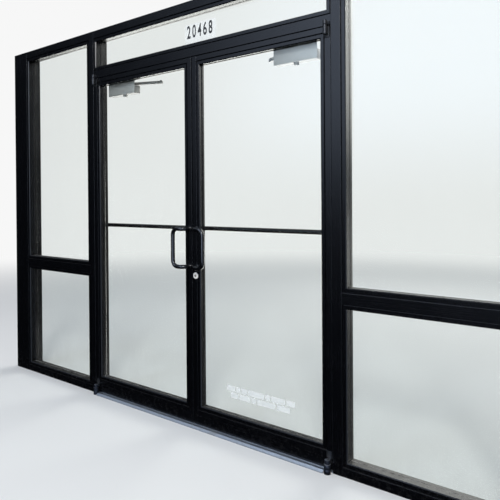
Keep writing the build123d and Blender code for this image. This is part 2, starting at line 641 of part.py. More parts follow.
# Closer: the drop plate screwed to the top rail, the closer body screwed to the plate, and its bottom cap
closer_in = PIVOT_X - CLOSER_START - CLOSER_LENGTH
closer_out = PIVOT_X - CLOSER_START
plate_back = LEAF_BACK + DROP_PLATE
with BuildPart() as closer:
    add(block(closer_in - DROP_PLATE_MARGIN, closer_out + DROP_PLATE_MARGIN, LEAF_BACK, plate_back,
              CLOSER_TOP - CLOSER_HEIGHT, LEAF_TOP - DROP_PLATE_INSET))
    with BuildSketch(Plane(origin=(closer_in, plate_back + CLOSER_DEPTH / 2, CLOSER_TOP - CLOSER_HEIGHT / 2),
                           x_dir=(0, 1, 0), z_dir=(1, 0, 0))):
        RectangleRounded(CLOSER_DEPTH, CLOSER_HEIGHT, CLOSER_ROUND)
    extrude(amount=CLOSER_LENGTH)
    add(block(closer_in, closer_out, plate_back, plate_back + CLOSER_ROUND, CLOSER_TOP - CLOSER_HEIGHT, CLOSER_TOP))
    add(post(*SPINDLE, CLOSER_TOP - CLOSER_HEIGHT - CLOSER_CAP_HEIGHT, CLOSER_TOP - CLOSER_HEIGHT,
             CLOSER_CAP_DIAMETER))
    add(post(*SPINDLE, CLOSER_TOP - SPINDLE_SEAT, CLOSER_TOP, SPINDLE_DIAMETER + 2 * RUNNING_CLEARANCE),
        mode=Mode.SUBTRACT)


# A flat arm between two turning points, with a round hub at each
def flat_arm(start, end, bottom):
    run = Vector(*end) - Vector(*start)
    middle = Vector(*start) + run / 2
    with BuildPart() as made:
        with BuildSketch(Plane.XY.offset(bottom)):
            with Locations((middle.X, middle.Y)):
                SlotCenterToCenter(run.length, ARM_WIDTH, rotation=degrees(atan2(run.Y, run.X)))
            with Locations(start, end):
                Circle(HUB_DIAMETER / 2)
        extrude(amount=ARM_THICKNESS)
    return made.part


with BuildPart() as closer_arm:
    add(flat_arm(SPINDLE, ELBOW, ARM_BOTTOM))
    add(post(*SPINDLE, CLOSER_TOP - SPINDLE_SEAT, ARM_BOTTOM, SPINDLE_DIAMETER))
    add(post(*ELBOW, ARM_BOTTOM, FOREARM_TOP + ARM_GAP, ARM_PIN_DIAMETER))

with BuildPart() as closer_forearm:
    add(flat_arm(SHOE, ELBOW, FOREARM_BOTTOM))
    add(post(*SHOE, FOREARM_BOTTOM, FOREARM_TOP, ARM_PIN_DIAMETER + 2 * RUNNING_CLEARANCE), mode=Mode.SUBTRACT)
    add(post(*ELBOW, FOREARM_BOTTOM, FOREARM_TOP, ARM_PIN_DIAMETER + 2 * ELBOW_CLEARANCE), mode=Mode.SUBTRACT)

for name, piece in {
    "hinge_stile": hinge_stile,
    "top_rail": top_rail,
    "bottom_rail": bottom_rail,
    "glass": glass,
    "rubber": rubber,
    "pull_handle": pull_handle,
    "push_bar": push_bar,
    "top_pivot_arm": top_pivot_arm,
    "bottom_pivot_arm": bottom_pivot_arm,
    "closer": closer,
    "closer_arm": closer_arm,
    "closer_forearm": closer_forearm,
}.items():
    save(piece, "right_" + name)
    with BuildPart() as opposite:
        mirror(piece.part, about=Plane.YZ)
    save(opposite, "left_" + name)

# Lock: the places of its parts in the right leaf's meeting stile
LOCK_X = LEAF_IN + LOCK_BACKSET
BOLT_X = LEAF_IN + BOLT_PIVOT_INSET
BOLT_Z = LOCK_HEIGHT - BOLT_DROP
case_front = LEAF_MIDDLE - FACEPLATE_WIDTH / 2
case_back = LEAF_MIDDLE + FACEPLATE_WIDTH / 2
case_in = LEAF_IN + FACEPLATE_THICKNESS
case_out = case_in + LOCK_CASE_DEPTH - JOINT_GAP
bolt_room = FACEPLATE_WIDTH / 2 - LOCK_CASE_WALL
bolt_sweep = (BOLT_LENGTH ** 2 + (BOLT_WIDTH / 2) ** 2) ** 0.5
slot_bottom = BOLT_Z - BOLT_WIDTH / 2 - 3 * BOLT_CLEARANCE
slot_top = BOLT_Z + bolt_sweep + 2 * BOLT_CLEARANCE
cylinder_hole = CYLINDER_DIAMETER + 2 * CYLINDER_CLEARANCE
cylinder_front_end = case_front - JOINT_GAP / 2
cylinder_back_start = case_back + JOINT_GAP / 2


# The opening for a faceplate in the edge wall of a stile
def plate_opening(side, middle_z, height):
    edge = LEAF_IN if side > 0 else -LEAF_IN - LEAF_WALL
    half = FACEPLATE_WIDTH / 2 + PLATE_CLEARANCE
    return block(edge, edge + LEAF_WALL, LEAF_MIDDLE - half, LEAF_MIDDLE + half,
                 middle_z - height / 2 - PLATE_CLEARANCE, middle_z + height / 2 + PLATE_CLEARANCE)


# The bores for the lock's two cylinders, one from each face of the leaf
def cylinder_bores():
    with BuildPart() as made:
        add(round_through(LOCK_X, LOCK_HEIGHT, 0, case_front, cylinder_hole))
        add(round_through(LOCK_X, LOCK_HEIGHT, case_back, LEAF_BACK + LEAF_SETBACK, cylinder_hole))
    return made.part


with BuildPart() as right_meeting_stile:
    add(upright(LEAF_IN, STILE_IN, FLOOR_GAP, LEAF_TOP, LEAF_SETBACK, LEAF_BACK, LEAF_WALL))
    add(plate_opening(1, LOCK_HEIGHT, LOCK_PLATE_HEIGHT), mode=Mode.SUBTRACT)
    add(cylinder_bores(), mode=Mode.SUBTRACT)

with BuildPart() as leaf_stops:
    add(stop_frame(LEAF_LITE, LEAF_SETBACK, 1, STOP_WIDTH, LEAF_STOP_DEPTH, STOP_BEVEL))
    add(stop_frame(LEAF_LITE, LEAF_BACK, -1, STOP_WIDTH, LEAF_STOP_DEPTH, STOP_BEVEL))

with BuildPart() as right_stops:
    add(leaf_stops.part)
    add(cylinder_bores(), mode=Mode.SUBTRACT)

with BuildPart() as left_stops:
    mirror(leaf_stops.part, about=Plane.YZ)

with BuildPart() as lock_body:
    add(block(LEAF_IN, case_in, case_front, case_back,
              LOCK_HEIGHT - LOCK_PLATE_HEIGHT / 2, LOCK_HEIGHT + LOCK_PLATE_HEIGHT / 2))
    add(block(case_in, case_out, case_front, case_back,
              LOCK_HEIGHT - LOCK_CASE_HEIGHT / 2, LOCK_HEIGHT + LOCK_CASE_HEIGHT / 2))
    add(block(LEAF_IN, case_out - LOCK_CASE_WALL, LEAF_MIDDLE - bolt_room, LEAF_MIDDLE + bolt_room,
              slot_bottom, slot_top), mode=Mode.SUBTRACT)
    add(round_through(BOLT_X, BOLT_Z, case_front, case_back, BOLT_PIN_DIAMETER))
    for front, back, ring_front in (
        (LEAF_SETBACK - CYLINDER_PROUD, cylinder_front_end, LEAF_SETBACK - RING_THICKNESS),
        (cylinder_back_start, LEAF_BACK + RING_THICKNESS, LEAF_BACK),
    ):
        add(round_through(LOCK_X, LOCK_HEIGHT, front, back, CYLINDER_DIAMETER))
        add(round_through(LOCK_X, LOCK_HEIGHT, ring_front, ring_front + RING_THICKNESS, RING_DIAMETER))
    add(round_through(LOCK_X, LOCK_HEIGHT, LEAF_SETBACK - CYLINDER_PROUD, cylinder_front_end,
                      PLUG_DIAMETER + 2 * RUNNING_CLEARANCE), mode=Mode.SUBTRACT)
    add(round_through(LOCK_X, LOCK_HEIGHT, cylinder_back_start, LEAF_BACK + RING_THICKNESS,
                      TURN_SHAFT_DIAMETER + 2 * RUNNING_CLEARANCE), mode=Mode.SUBTRACT)

plug_front = LEAF_SETBACK - CYLINDER_PROUD - PLUG_PROUD
with BuildPart() as lock_plug:
    add(round_through(LOCK_X, LOCK_HEIGHT, plug_front, cylinder_front_end, PLUG_DIAMETER))
    add(block(LOCK_X - KEYWAY_WIDTH / 2, LOCK_X + KEYWAY_WIDTH / 2, plug_front, plug_front + KEYWAY_DEPTH,
              LOCK_HEIGHT - KEYWAY_HEIGHT / 2, LOCK_HEIGHT + KEYWAY_HEIGHT / 2), mode=Mode.SUBTRACT)

turn_start = LEAF_BACK + RING_THICKNESS + BOLT_CLEARANCE
with BuildPart() as thumb_turn:
    add(round_through(LOCK_X, LOCK_HEIGHT, cylinder_back_start, turn_start, TURN_SHAFT_DIAMETER))
    with BuildSketch(elevation(LOCK_X, turn_start, LOCK_HEIGHT)):
        SlotOverall(TURN_LENGTH, TURN_THICKNESS, rotation=90)
    extrude(amount=TURN_REACH)

# Swinging bolt: upright in its case at rest, it turns a quarter towards the other leaf to lock
with BuildPart() as lock_bolt:
    with BuildSketch(elevation(BOLT_X, LEAF_MIDDLE - bolt_room + BOLT_CLEARANCE, BOLT_Z)):
        Circle(BOLT_WIDTH / 2)
        with Locations((0, -BOLT_LENGTH / 2)):
            Rectangle(BOLT_WIDTH, BOLT_LENGTH)
    extrude(amount=2 * (bolt_room - BOLT_CLEARANCE))
    add(round_through(BOLT_X, BOLT_Z, case_front, case_back, BOLT_PIN_DIAMETER + 2 * RUNNING_CLEARANCE),
        mode=Mode.SUBTRACT)

# Flush bolts: a rod with its thumb piece, sliding behind a plate in the left leaf's edge
def flush_bolt(end_z, towards_end):
    lever = end_z - towards_end * FLUSH_LEVER_FROM_END
    bottom, top = sorted((lever - towards_end * FLUSH_LEVER_HEIGHT / 2, end_z))
    with BuildPart() as made:
        add(post(FLUSH_X, LEAF_MIDDLE, bottom, top, FLUSH_ROD_DIAMETER))
        add(block(FLUSH_X, -LEAF_IN - FLUSH_LEVER_RECESS, LEAF_MIDDLE - FLUSH_LEVER_WIDTH / 2,
                  LEAF_MIDDLE + FLUSH_LEVER_WIDTH / 2, lever - FLUSH_LEVER_HEIGHT / 2,
                  lever + FLUSH_LEVER_HEIGHT / 2))
    return made


# The plate with its slot, and the guide block that the rod runs in
def flush_plate(end_z, towards_end, throw):
    lever = end_z - towards_end * FLUSH_LEVER_FROM_END
    middle = lever + towards_end * throw / 2
    slot_high = FLUSH_LEVER_HEIGHT + throw + 2 * BOLT_CLEARANCE
    slot_half = FLUSH_LEVER_WIDTH / 2 + BOLT_CLEARANCE
    guide = sorted((end_z - towards_end * FLUSH_GUIDE_INSET,
                    end_z - towards_end * (FLUSH_GUIDE_INSET + FLUSH_GUIDE_HEIGHT)))
    with BuildPart() as made:
        add(block(-LEAF_IN - FACEPLATE_THICKNESS, -LEAF_IN, case_front, case_back,
                  middle - FLUSH_PLATE_HEIGHT / 2, middle + FLUSH_PLATE_HEIGHT / 2))
        add(block(-LEAF_IN - FACEPLATE_THICKNESS, -LEAF_IN, LEAF_MIDDLE - slot_half, LEAF_MIDDLE + slot_half,
                  middle - slot_high / 2, middle + slot_high / 2), mode=Mode.SUBTRACT)
        add(block(-STILE_IN + LEAF_WALL, -LEAF_IN - LEAF_WALL, LEAF_SETBACK + LEAF_WALL, LEAF_BACK - LEAF_WALL,
                  *guide))
        add(post(FLUSH_X, LEAF_MIDDLE, *guide, FLUSH_ROD_DIAMETER + 2 * RUNNING_CLEARANCE), mode=Mode.SUBTRACT)
    return made


TOP_BOLT = (LEAF_TOP - FLUSH_END_INSET, 1, TOP_THROW)
BOTTOM_BOLT = (FLOOR_GAP + FLUSH_END_INSET, -1, BOTTOM_THROW)
top_flush_bolt = flush_bolt(*TOP_BOLT[:2])
bottom_flush_bolt = flush_bolt(*BOTTOM_BOLT[:2])
with BuildPart() as flush_bolt_plates:
    add(flush_plate(*TOP_BOLT).part)
    add(flush_plate(*BOTTOM_BOLT).part)

with BuildPart() as left_meeting_stile:
    add(upright(-STILE_IN, -LEAF_IN, FLOOR_GAP, LEAF_TOP, LEAF_SETBACK, LEAF_BACK, LEAF_WALL))
    for end_z, towards_end, throw in (TOP_BOLT, BOTTOM_BOLT):
        middle = end_z - towards_end * (FLUSH_LEVER_FROM_END - throw / 2)
        add(plate_opening(-1, middle, FLUSH_PLATE_HEIGHT), mode=Mode.SUBTRACT)
    add(block(-LEAF_IN - LEAF_WALL, -LEAF_IN, LEAF_MIDDLE - bolt_room, LEAF_MIDDLE + bolt_room,
              slot_bottom, slot_top), mode=Mode.SUBTRACT)

# The seal between the leaves, in two lengths above and below the lock's faceplate
with BuildPart() as meeting_weatherstrip:
    lock_gap = LOCK_PLATE_HEIGHT / 2 + SEAL_WIDTH
    for bottom, top in ((FLOOR_GAP, LOCK_HEIGHT - lock_gap), (LOCK_HEIGHT + lock_gap, LEAF_TOP)):
        add(block(LEAF_IN - MEETING_SEAL_REACH, LEAF_IN, LEAF_MIDDLE - SEAL_WIDTH / 2,
                  LEAF_MIDDLE + SEAL_WIDTH / 2, bottom, top))

for name, piece in {
    "right_meeting_stile": right_meeting_stile,
    "left_meeting_stile": left_meeting_stile,
    "right_stops": right_stops,
    "left_stops": left_stops,
    "lock_body": lock_body,
    "lock_plug": lock_plug,
    "thumb_turn": thumb_turn,
    "lock_bolt": lock_bolt,
    "top_flush_bolt": top_flush_bolt,
    "bottom_flush_bolt": bottom_flush_bolt,
    "flush_bolt_plates": flush_bolt_plates,
    "meeting_weatherstrip": meeting_weatherstrip,
}.items():
    save(piece, name)
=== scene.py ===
import math

import bmesh
import bpy
from mathutils import Matrix, Vector


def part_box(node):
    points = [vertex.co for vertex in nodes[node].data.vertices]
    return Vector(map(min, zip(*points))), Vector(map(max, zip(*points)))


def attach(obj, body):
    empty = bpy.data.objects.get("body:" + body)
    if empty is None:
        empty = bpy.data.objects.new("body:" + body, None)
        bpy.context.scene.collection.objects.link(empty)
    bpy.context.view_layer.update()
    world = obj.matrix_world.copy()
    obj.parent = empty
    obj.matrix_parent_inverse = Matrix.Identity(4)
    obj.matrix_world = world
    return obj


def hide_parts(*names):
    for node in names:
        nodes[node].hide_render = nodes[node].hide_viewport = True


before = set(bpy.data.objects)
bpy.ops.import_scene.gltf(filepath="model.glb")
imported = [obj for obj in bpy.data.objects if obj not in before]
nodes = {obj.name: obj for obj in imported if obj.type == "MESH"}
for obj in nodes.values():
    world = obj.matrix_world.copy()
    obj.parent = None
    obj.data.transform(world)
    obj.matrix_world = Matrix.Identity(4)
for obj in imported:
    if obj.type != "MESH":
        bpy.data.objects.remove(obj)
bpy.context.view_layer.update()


# Frame members: extruded aluminium tubes, anodised satin black, screwed together at their ends.
# The tubes show faint lines along their length, a little dust on ledges and scuffs near the floor.
class Wire:
    """A shader socket. Sums, products and powers of it add their own Math nodes to its material."""

    def __init__(self, tree, socket=None):
        self.tree = tree
        self.socket = socket

    def node(self, kind, settings=None, inputs=None, out=0):
        made = self.tree.nodes.new(kind)
        for name, value in (settings or {}).items():
            setattr(made, name, value)
        for name, value in (inputs or {}).items():
            if isinstance(value, Wire):
                self.tree.links.new(value.socket, made.inputs[name])
            else:
                made.inputs[name].default_value = value
        return Wire(self.tree, made.outputs[out] if len(made.outputs) else None)

    def math(self, operation, first, second):
        return self.node("ShaderNodeMath", {"operation": operation}, {0: first, 1: second})

    def __add__(self, other):
        return self.math("ADD", self, other)

    def __radd__(self, other):
        return self.math("ADD", other, self)

    def __sub__(self, other):
        return self.math("SUBTRACT", self, other)

    def __rsub__(self, other):
        return self.math("SUBTRACT", other, self)

    def __mul__(self, other):
        return self.math("MULTIPLY", self, other)

    def __rmul__(self, other):
        return self.math("MULTIPLY", other, self)

    def __pow__(self, other):
        return self.math("POWER", self, other)


def start_finish(name):
    made = bpy.data.materials.new(name)
    made.use_nodes = True
    made.node_tree.nodes.clear()
    return made, Wire(made.node_tree)


def place_on(wire):
    return wire.node("ShaderNodeTexCoord", out="Object")


def part_of(wire, vector, letter):
    return wire.node("ShaderNodeSeparateXYZ", {}, {0: vector}, out=letter)


def stretched(wire, scales):
    return wire.node("ShaderNodeMapping", {}, {"Vector": place_on(wire), "Scale": scales})


def cloud(wire, place, scale, detail=3.0, roughness=0.55):
    return wire.node("ShaderNodeTexNoise", {}, {"Vector": place, "Scale": scale, "Detail": detail,
                                                "Roughness": roughness}, out="Fac")


def between(wire, value, low, high):
    return wire.node("ShaderNodeMapRange", {"clamp": True, "interpolation_type": "SMOOTHSTEP"},
                     {"Value": value, "From Min": low, "From Max": high, "To Min": 0.0, "To Max": 1.0})


def blend_colours(wire, share, first, second):
    return wire.node("ShaderNodeMix", {"data_type": "RGBA"}, {0: share, 6: first, 7: second}, out=2)


def height_to_normal(wire, height, strength, distance):
    return wire.node("ShaderNodeBump", {}, {"Height": height, "Strength": strength, "Distance": distance})


def finish_off(wire, shader):
    wire.node("ShaderNodeOutputMaterial", {}, {"Surface": shader})


def coat(wire, inputs):
    finish_off(wire, wire.node("ShaderNodeBsdfPrincipled", {}, inputs))


LEDGE_SLOPE = (0.7, 0.95)


def facing_up(wire):
    """One on level faces, where dust stays, and zero on upright ones."""
    return between(wire, part_of(wire, wire.node("ShaderNodeNewGeometry", out="Normal"), "Z"), *LEDGE_SLOPE)


def low_down(wire, bottom, top):
    """One near the floor, and zero from the top height up."""
    return 1.0 - between(wire, part_of(wire, place_on(wire), "Z"), bottom, top)


BLACK = (0.0003, 0.0004, 0.0010, 1)
DUSTY_BLACK = (0.050, 0.049, 0.047, 1)
SATIN, LINE_SATIN, PATCH_SATIN, DUST_DULLNESS = 0.17, 0.10, 0.08, 0.35
ALONG_Z = (420.0, 420.0, 4.0)
ALONG_X = (4.0, 420.0, 420.0)
LINE_STRENGTH, LINE_DEPTH = 0.10, 0.0004
PATCH_SCALE, GRIME_SCALE = 3.2, 38.0
SCRATCH_SCALES = (26.0, 26.0, 310.0)
SCRATCH_LEVELS, SCUFF_LEVELS, LEDGE_LEVELS = (0.66, 0.70), (0.42, 0.75), (0.3, 0.8)
SCUFF_HEIGHT = 0.20
SCUFF_SHARE, LEDGE_SHARE, SCRATCH_SHARE, PATCH_SHARE = 0.10, 0.4, 0.10, 0.006


def anodised_black(name, grain):
    """Black anodising on an extrusion, whose faint lines run along the axis with the small scale."""
    made, wire = start_finish(name)
    lines = cloud(wire, stretched(wire, grain), 1.0, 4.0, 0.65)
    patches = cloud(wire, place_on(wire), PATCH_SCALE)
    scuffed = low_down(wire, 0.0, SCUFF_HEIGHT)
    grime = cloud(wire, place_on(wire), GRIME_SCALE, 5.0, 0.7)
    scratches = between(wire, cloud(wire, stretched(wire, SCRATCH_SCALES), 1.0, 2.0, 0.4), *SCRATCH_LEVELS)
    dust = (scuffed * between(wire, grime, *SCUFF_LEVELS) * SCUFF_SHARE
            + facing_up(wire) * between(wire, grime, *LEDGE_LEVELS) * LEDGE_SHARE)
    marks = dust + scratches * scuffed * SCRATCH_SHARE + patches * PATCH_SHARE
    coat(wire, {
        "Base Color": blend_colours(wire, marks, BLACK, DUSTY_BLACK),
        "Roughness": SATIN + lines * LINE_SATIN + patches * PATCH_SATIN + dust * DUST_DULLNESS,
        "Normal": height_to_normal(wire, lines, LINE_STRENGTH, LINE_DEPTH),
    })
    return made


black_upright = anodised_black("black_anodised_upright", ALONG_Z)
black_bar = anodised_black("black_anodised_bar", ALONG_X)


def wear(material, *names):
    for name in names:
        nodes[name].data.materials.clear()
        nodes[name].data.materials.append(material)


wear(black_upright, "left_closure", "left_jamb", "left_mullion", "right_mullion", "right_jamb")
wear(black_bar, "side_heads", "center_head", "transom_bar", "side_rails", "side_sills")


# Glazing of the lites: clear toughened panes, which the stops clamp between black gaskets.
# The glass has a trace of green, a thin film of dust low down and faint smears from cleaning.
GLASS_TINT = (0.952, 0.972, 0.964, 1)
MIRROR_TINT = (0.96, 1.0, 0.985, 1)
DUST_COLOUR = (0.60, 0.58, 0.55, 1)
FILM_ABOVE, FILM_BELOW = 0.010, 0.045
DUST_BOTTOM, DUST_TOP = 0.05, 0.55
SMEAR_SCALES, SMEAR_SHARE, SPECK_SHARE, SMEAR_LEVELS = (1.6, 1.6, 0.7), 0.65, 0.35, (0.36, 0.66)
MIRROR_FACE_ON, MIRROR_GRAZING, MIRROR_POWER = 0.04, 0.9, 5.0


def glazing_glass(name):
    made, wire = start_finish(name)
    smears = cloud(wire, stretched(wire, SMEAR_SCALES), 2.2, 4.0, 0.6)
    specks = cloud(wire, place_on(wire), 90.0, 4.0, 0.7)
    film = ((FILM_ABOVE + low_down(wire, DUST_BOTTOM, DUST_TOP) * FILM_BELOW)
            * between(wire, smears * SMEAR_SHARE + specks * SPECK_SHARE, *SMEAR_LEVELS))
    clear = wire.node("ShaderNodeBsdfTransparent", {}, {"Color": GLASS_TINT})
    mirror = wire.node("ShaderNodeBsdfGlossy", {}, {"Color": MIRROR_TINT, "Roughness": 0.01})
    slant = wire.node("ShaderNodeLayerWeight", {}, {"Blend": 0.5}, out="Facing")
    pane = wire.node("ShaderNodeMixShader", {}, {
        0: MIRROR_FACE_ON + slant ** MIRROR_POWER * MIRROR_GRAZING, 1: clear, 2: mirror})
    dusty = wire.node("ShaderNodeBsdfDiffuse", {}, {"Color": DUST_COLOUR})
    finish_off(wire, wire.node("ShaderNodeMixShader", {}, {0: film, 1: pane, 2: dusty}))
    return made


clear_glass = glazing_glass("clear_toughened_glass")
wear(clear_glass, "left_lite_glass", "transom_glass", "right_lite_glass", "left_glass", "right_glass")


# Glazing stops and gaskets: the stops snap into the members, and a soft black gasket with a rounded
# lip is pressed in between each stop and the pane, mitred at the corners.
RUBBER, DULL_RUBBER = (0.003, 0.003, 0.004, 1), (0.008, 0.008, 0.009, 1)
LIP_DUST = (0.42, 0.41, 0.39, 1)
LIP_DUST_SCALE, LIP_DUST_LEVELS = 24.0, (0.25, 0.6)
RUBBER_GRAIN = 300.0


def moulded_rubber(name):
    made, wire = start_finish(name)
    grain = cloud(wire, place_on(wire), RUBBER_GRAIN)
    dust = facing_up(wire) * between(wire, cloud(wire, place_on(wire), LIP_DUST_SCALE, 4.0), *LIP_DUST_LEVELS)
    coat(wire, {
        "Base Color": blend_colours(wire, dust, blend_colours(wire, grain, RUBBER, DULL_RUBBER), LIP_DUST),
        "Roughness": 0.5 + grain * 0.3,
        "Specular IOR Level": 0.3,
        "Normal": height_to_normal(wire, grain, 0.2, 0.0004),
    })
    return made


black_rubber = moulded_rubber("black_rubber")
wear(black_upright, "left_lite_stops", "transom_stops", "right_lite_stops")
wear(black_rubber, "lite_rubber", "left_rubber", "right_rubber")

SIGHT_INSET = 0.0254
INNER_SIGHT_INSET = 0.019
LIP_REACH = 0.0012
LIP_THICKNESS = 0.0014
LIP_ROUND = 0.0006
LIP_ROOT = 0.001
CREASE = math.radians(35.0)


def settle(shape, name, material, body, replaced=()):
    """Makes a piece that moves with a body. Edges sharper than the crease stay sharp.

    Shapes are drawn for the right side, and a piece whose name starts with left is mirrored.
    """
    if name.startswith("left_"):
        bmesh.ops.scale(shape, vec=(-1, 1, 1), verts=shape.verts)
        bmesh.ops.reverse_faces(shape, faces=shape.faces)
    for face in shape.faces:
        face.smooth = True
    for edge in shape.edges:
        edge.smooth = len(edge.link_faces) == 2 and edge.calc_face_angle(0.0) < CREASE
    mesh = bpy.data.meshes.new(name)
    shape.to_mesh(mesh)
    shape.free()
    mesh.materials.append(material)
    piece = bpy.data.objects.new(name, mesh)
    bpy.context.scene.collection.objects.link(piece)
    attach(piece, body)
    if replaced:
        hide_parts(*replaced)


def add_surround(shape, opening, section):
    """A mitred frame around an opening. Its section is a closed outline of (inset, depth) pairs."""
    left, right, bottom, top = opening
    loops = []
    for inset, depth in section:
        corners = ((left + inset, bottom + inset), (right - inset, bottom + inset),
                   (right - inset, top - inset), (left + inset, top - inset))
        loops.append([shape.verts.new((x, depth, z)) for x, z in corners])
    for near, far in zip(loops, loops[1:] + loops[:1]):
        for count in range(4):
            shape.faces.new((near[count], near[count - 1], far[count - 1], far[count]))


def add_lip(shape, opening, sight, face, outward):
    """The rounded lip of a gasket on one face of a pane. Outward is the side that the face looks to."""
    front = face + outward * LIP_THICKNESS
    add_surround(shape, opening, (
        (sight - LIP_ROOT, face),
        (sight + LIP_REACH, face),
        (sight + LIP_REACH, face + outward * LIP_ROUND),
        (sight + LIP_REACH - LIP_ROUND, front),
        (sight - LIP_ROOT, front),
    ))


def seal_panes(name, body, openings, inner_sight, front, back):
    """The gasket lips on both faces of panes that stand in line, as one piece."""
    lips = bmesh.new()
    for opening in openings:
        add_lip(lips, opening, SIGHT_INSET, front, -1)
        add_lip(lips, opening, inner_sight, back, 1)
    bmesh.ops.recalc_face_normals(lips, faces=lips.faces)
    settle(lips, name, black_rubber, body)


lite_left, lite_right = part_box("right_mullion")[1][0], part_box("right_jamb")[0][0]
rail_low, rail_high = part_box("side_rails")
side_openings = (
    (lite_left, lite_right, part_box("side_sills")[1][2], rail_low[2]),
    (lite_left, lite_right, rail_high[2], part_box("side_heads")[0][2]),
)
bar_low, bar_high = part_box("transom_bar")
transom_opening = (bar_low[0], bar_high[0], bar_high[2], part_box("center_head")[0][2])
lite_front, lite_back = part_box("transom_glass")[0][1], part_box("transom_glass")[1][1]
for side in ("right", "left"):
    seal_panes(f"{side}_lite_gasket_lips", "frame", side_openings, INNER_SIGHT_INSET, lite_front, lite_back)
seal_panes("transom_gasket_lips", "frame", (transom_opening,), INNER_SIGHT_INSET, lite_front, lite_back)


# Threshold: an extruded aluminium saddle in mill finish, ribbed against slipping and screwed to the floor.
# Its face keeps the lines of the die, and feet have left patches of dirt on it.
BARE_ALUMINIUM, TRODDEN_DIRT = (0.45, 0.485, 0.52, 1), (0.19, 0.185, 0.18, 1)
DIE_LINES = (9.0, 700.0, 700.0)
DIRT_SCALE, DIRT_LEVELS, DIRT_COVER = 9.0, (0.5, 0.8), 0.7


def mill_aluminium(name):
    made, wire = start_finish(name)
    brushed = cloud(wire, stretched(wire, DIE_LINES), 1.0, 4.0, 0.7)
    dirt = between(wire, cloud(wire, place_on(wire), DIRT_SCALE, 5.0, 0.65), *DIRT_LEVELS)
    coat(wire, {
        "Base Color": blend_colours(wire, dirt * DIRT_COVER, BARE_ALUMINIUM, TRODDEN_DIRT),
        "Metallic": 1.0 - dirt * 0.35,
        "Roughness": 0.32 + brushed * 0.22 + dirt * 0.2,
        "Normal": height_to_normal(wire, brushed, 0.25, 0.0005),
    })
    return made


def facing(place, axis):
    """A frame at a place whose Z runs along an axis."""
    return Matrix.Translation(place) @ Vector(axis).to_track_quat("Z", "Y").to_matrix().to_4x4()


def add_turned(shape, outline, place, steps=40):
    """A body turned about the Z of a frame. Its outline is a list of (radius, height) pairs."""
    rings = []
    for radius, height in outline:
        count = steps if radius > 0 else 1
        turns = [2 * math.pi * step / steps for step in range(count)]
        points = [Vector((radius * math.cos(turn), radius * math.sin(turn), height)) for turn in turns]
        rings.append([shape.verts.new(place @ point) for point in points])
    for lower, upper in zip(rings, rings[1:]):
        for step in range(steps):
            corners = [lower[step % len(lower)], lower[(step + 1) % len(lower)],
                       upper[(step + 1) % len(upper)], upper[step % len(upper)]]
            corners = [corner for count, corner in enumerate(corners) if corner not in corners[:count]]
            if len(corners) > 2:
                shape.faces.new(corners)


HEAD_RISE, RECESS_DEPTH = 0.13, 0.10
CROSS_HALF_WIDTH, CROSS_REACH, CROSS_TAPER = 0.06, 0.29, 0.7
DOME = ((0.5, -0.5), (0.5, 0), (0.42, 0.8), (0.36, 1))
HEAD_STEPS = 20


def add_screw(shape, place, axis, size):
    """The low domed head of a screw, with a crossed recess. Its form is given in shares of its size."""
    seat = facing(place, axis)
    rise, depth = size * HEAD_RISE, size * RECESS_DEPTH
    half, reach = size * CROSS_HALF_WIDTH, size * CROSS_REACH
    add_turned(shape, [(size * radius, rise * height) for radius, height in DOME], seat, HEAD_STEPS)
    rim = list(shape.verts)[-HEAD_STEPS:]
    cross = [(half, half), (half, reach), (-half, reach), (-half, half), (-reach, half), (-reach, -half),
             (-half, -half), (-half, -reach), (half, -reach), (half, -half), (reach, -half), (reach, half)]
    lip = [shape.verts.new(seat @ Vector((x, y, rise))) for x, y in cross]
    bed = [shape.verts.new(seat @ Vector((x * CROSS_TAPER, y * CROSS_TAPER, rise - depth))) for x, y in cross]
    for count in range(len(cross)):
        shape.faces.new((lip[count - 1], lip[count], bed[count], bed[count - 1]))
    shape.faces.new(bed)
    pairs = [(ring[count - 1], ring[count]) for ring in (rim, lip) for count in range(len(ring))]
    edges = [shape.edges.get(pair) or shape.edges.new(pair) for pair in pairs]
    bmesh.ops.triangle_fill(shape, use_beauty=True, use_dissolve=False, edges=edges,
                            normal=seat.to_3x3() @ Vector((0, 0, 1)))


RIB_COUNT = 9
RIB_PITCH = 0.0062
RIB_WIDTH = 0.0036
RIB_TOP = 0.0022
RIB_HEIGHT = 0.0009
RIB_END_GAP = 0.048


def add_rib(shape, start, end, y, base):
    """One straight rib along X."""
    outline = ((-RIB_WIDTH / 2, 0), (-RIB_TOP / 2, RIB_HEIGHT), (RIB_TOP / 2, RIB_HEIGHT), (RIB_WIDTH / 2, 0))
    ends = [[shape.verts.new((x, y + across, base + up)) for across, up in outline] for x in (start, end)]
    for count in range(4):
        shape.faces.new((ends[0][count - 1], ends[0][count], ends[1][count], ends[1][count - 1]))
    shape.faces.new(ends[0])
    shape.faces.new(ends[1][::-1])


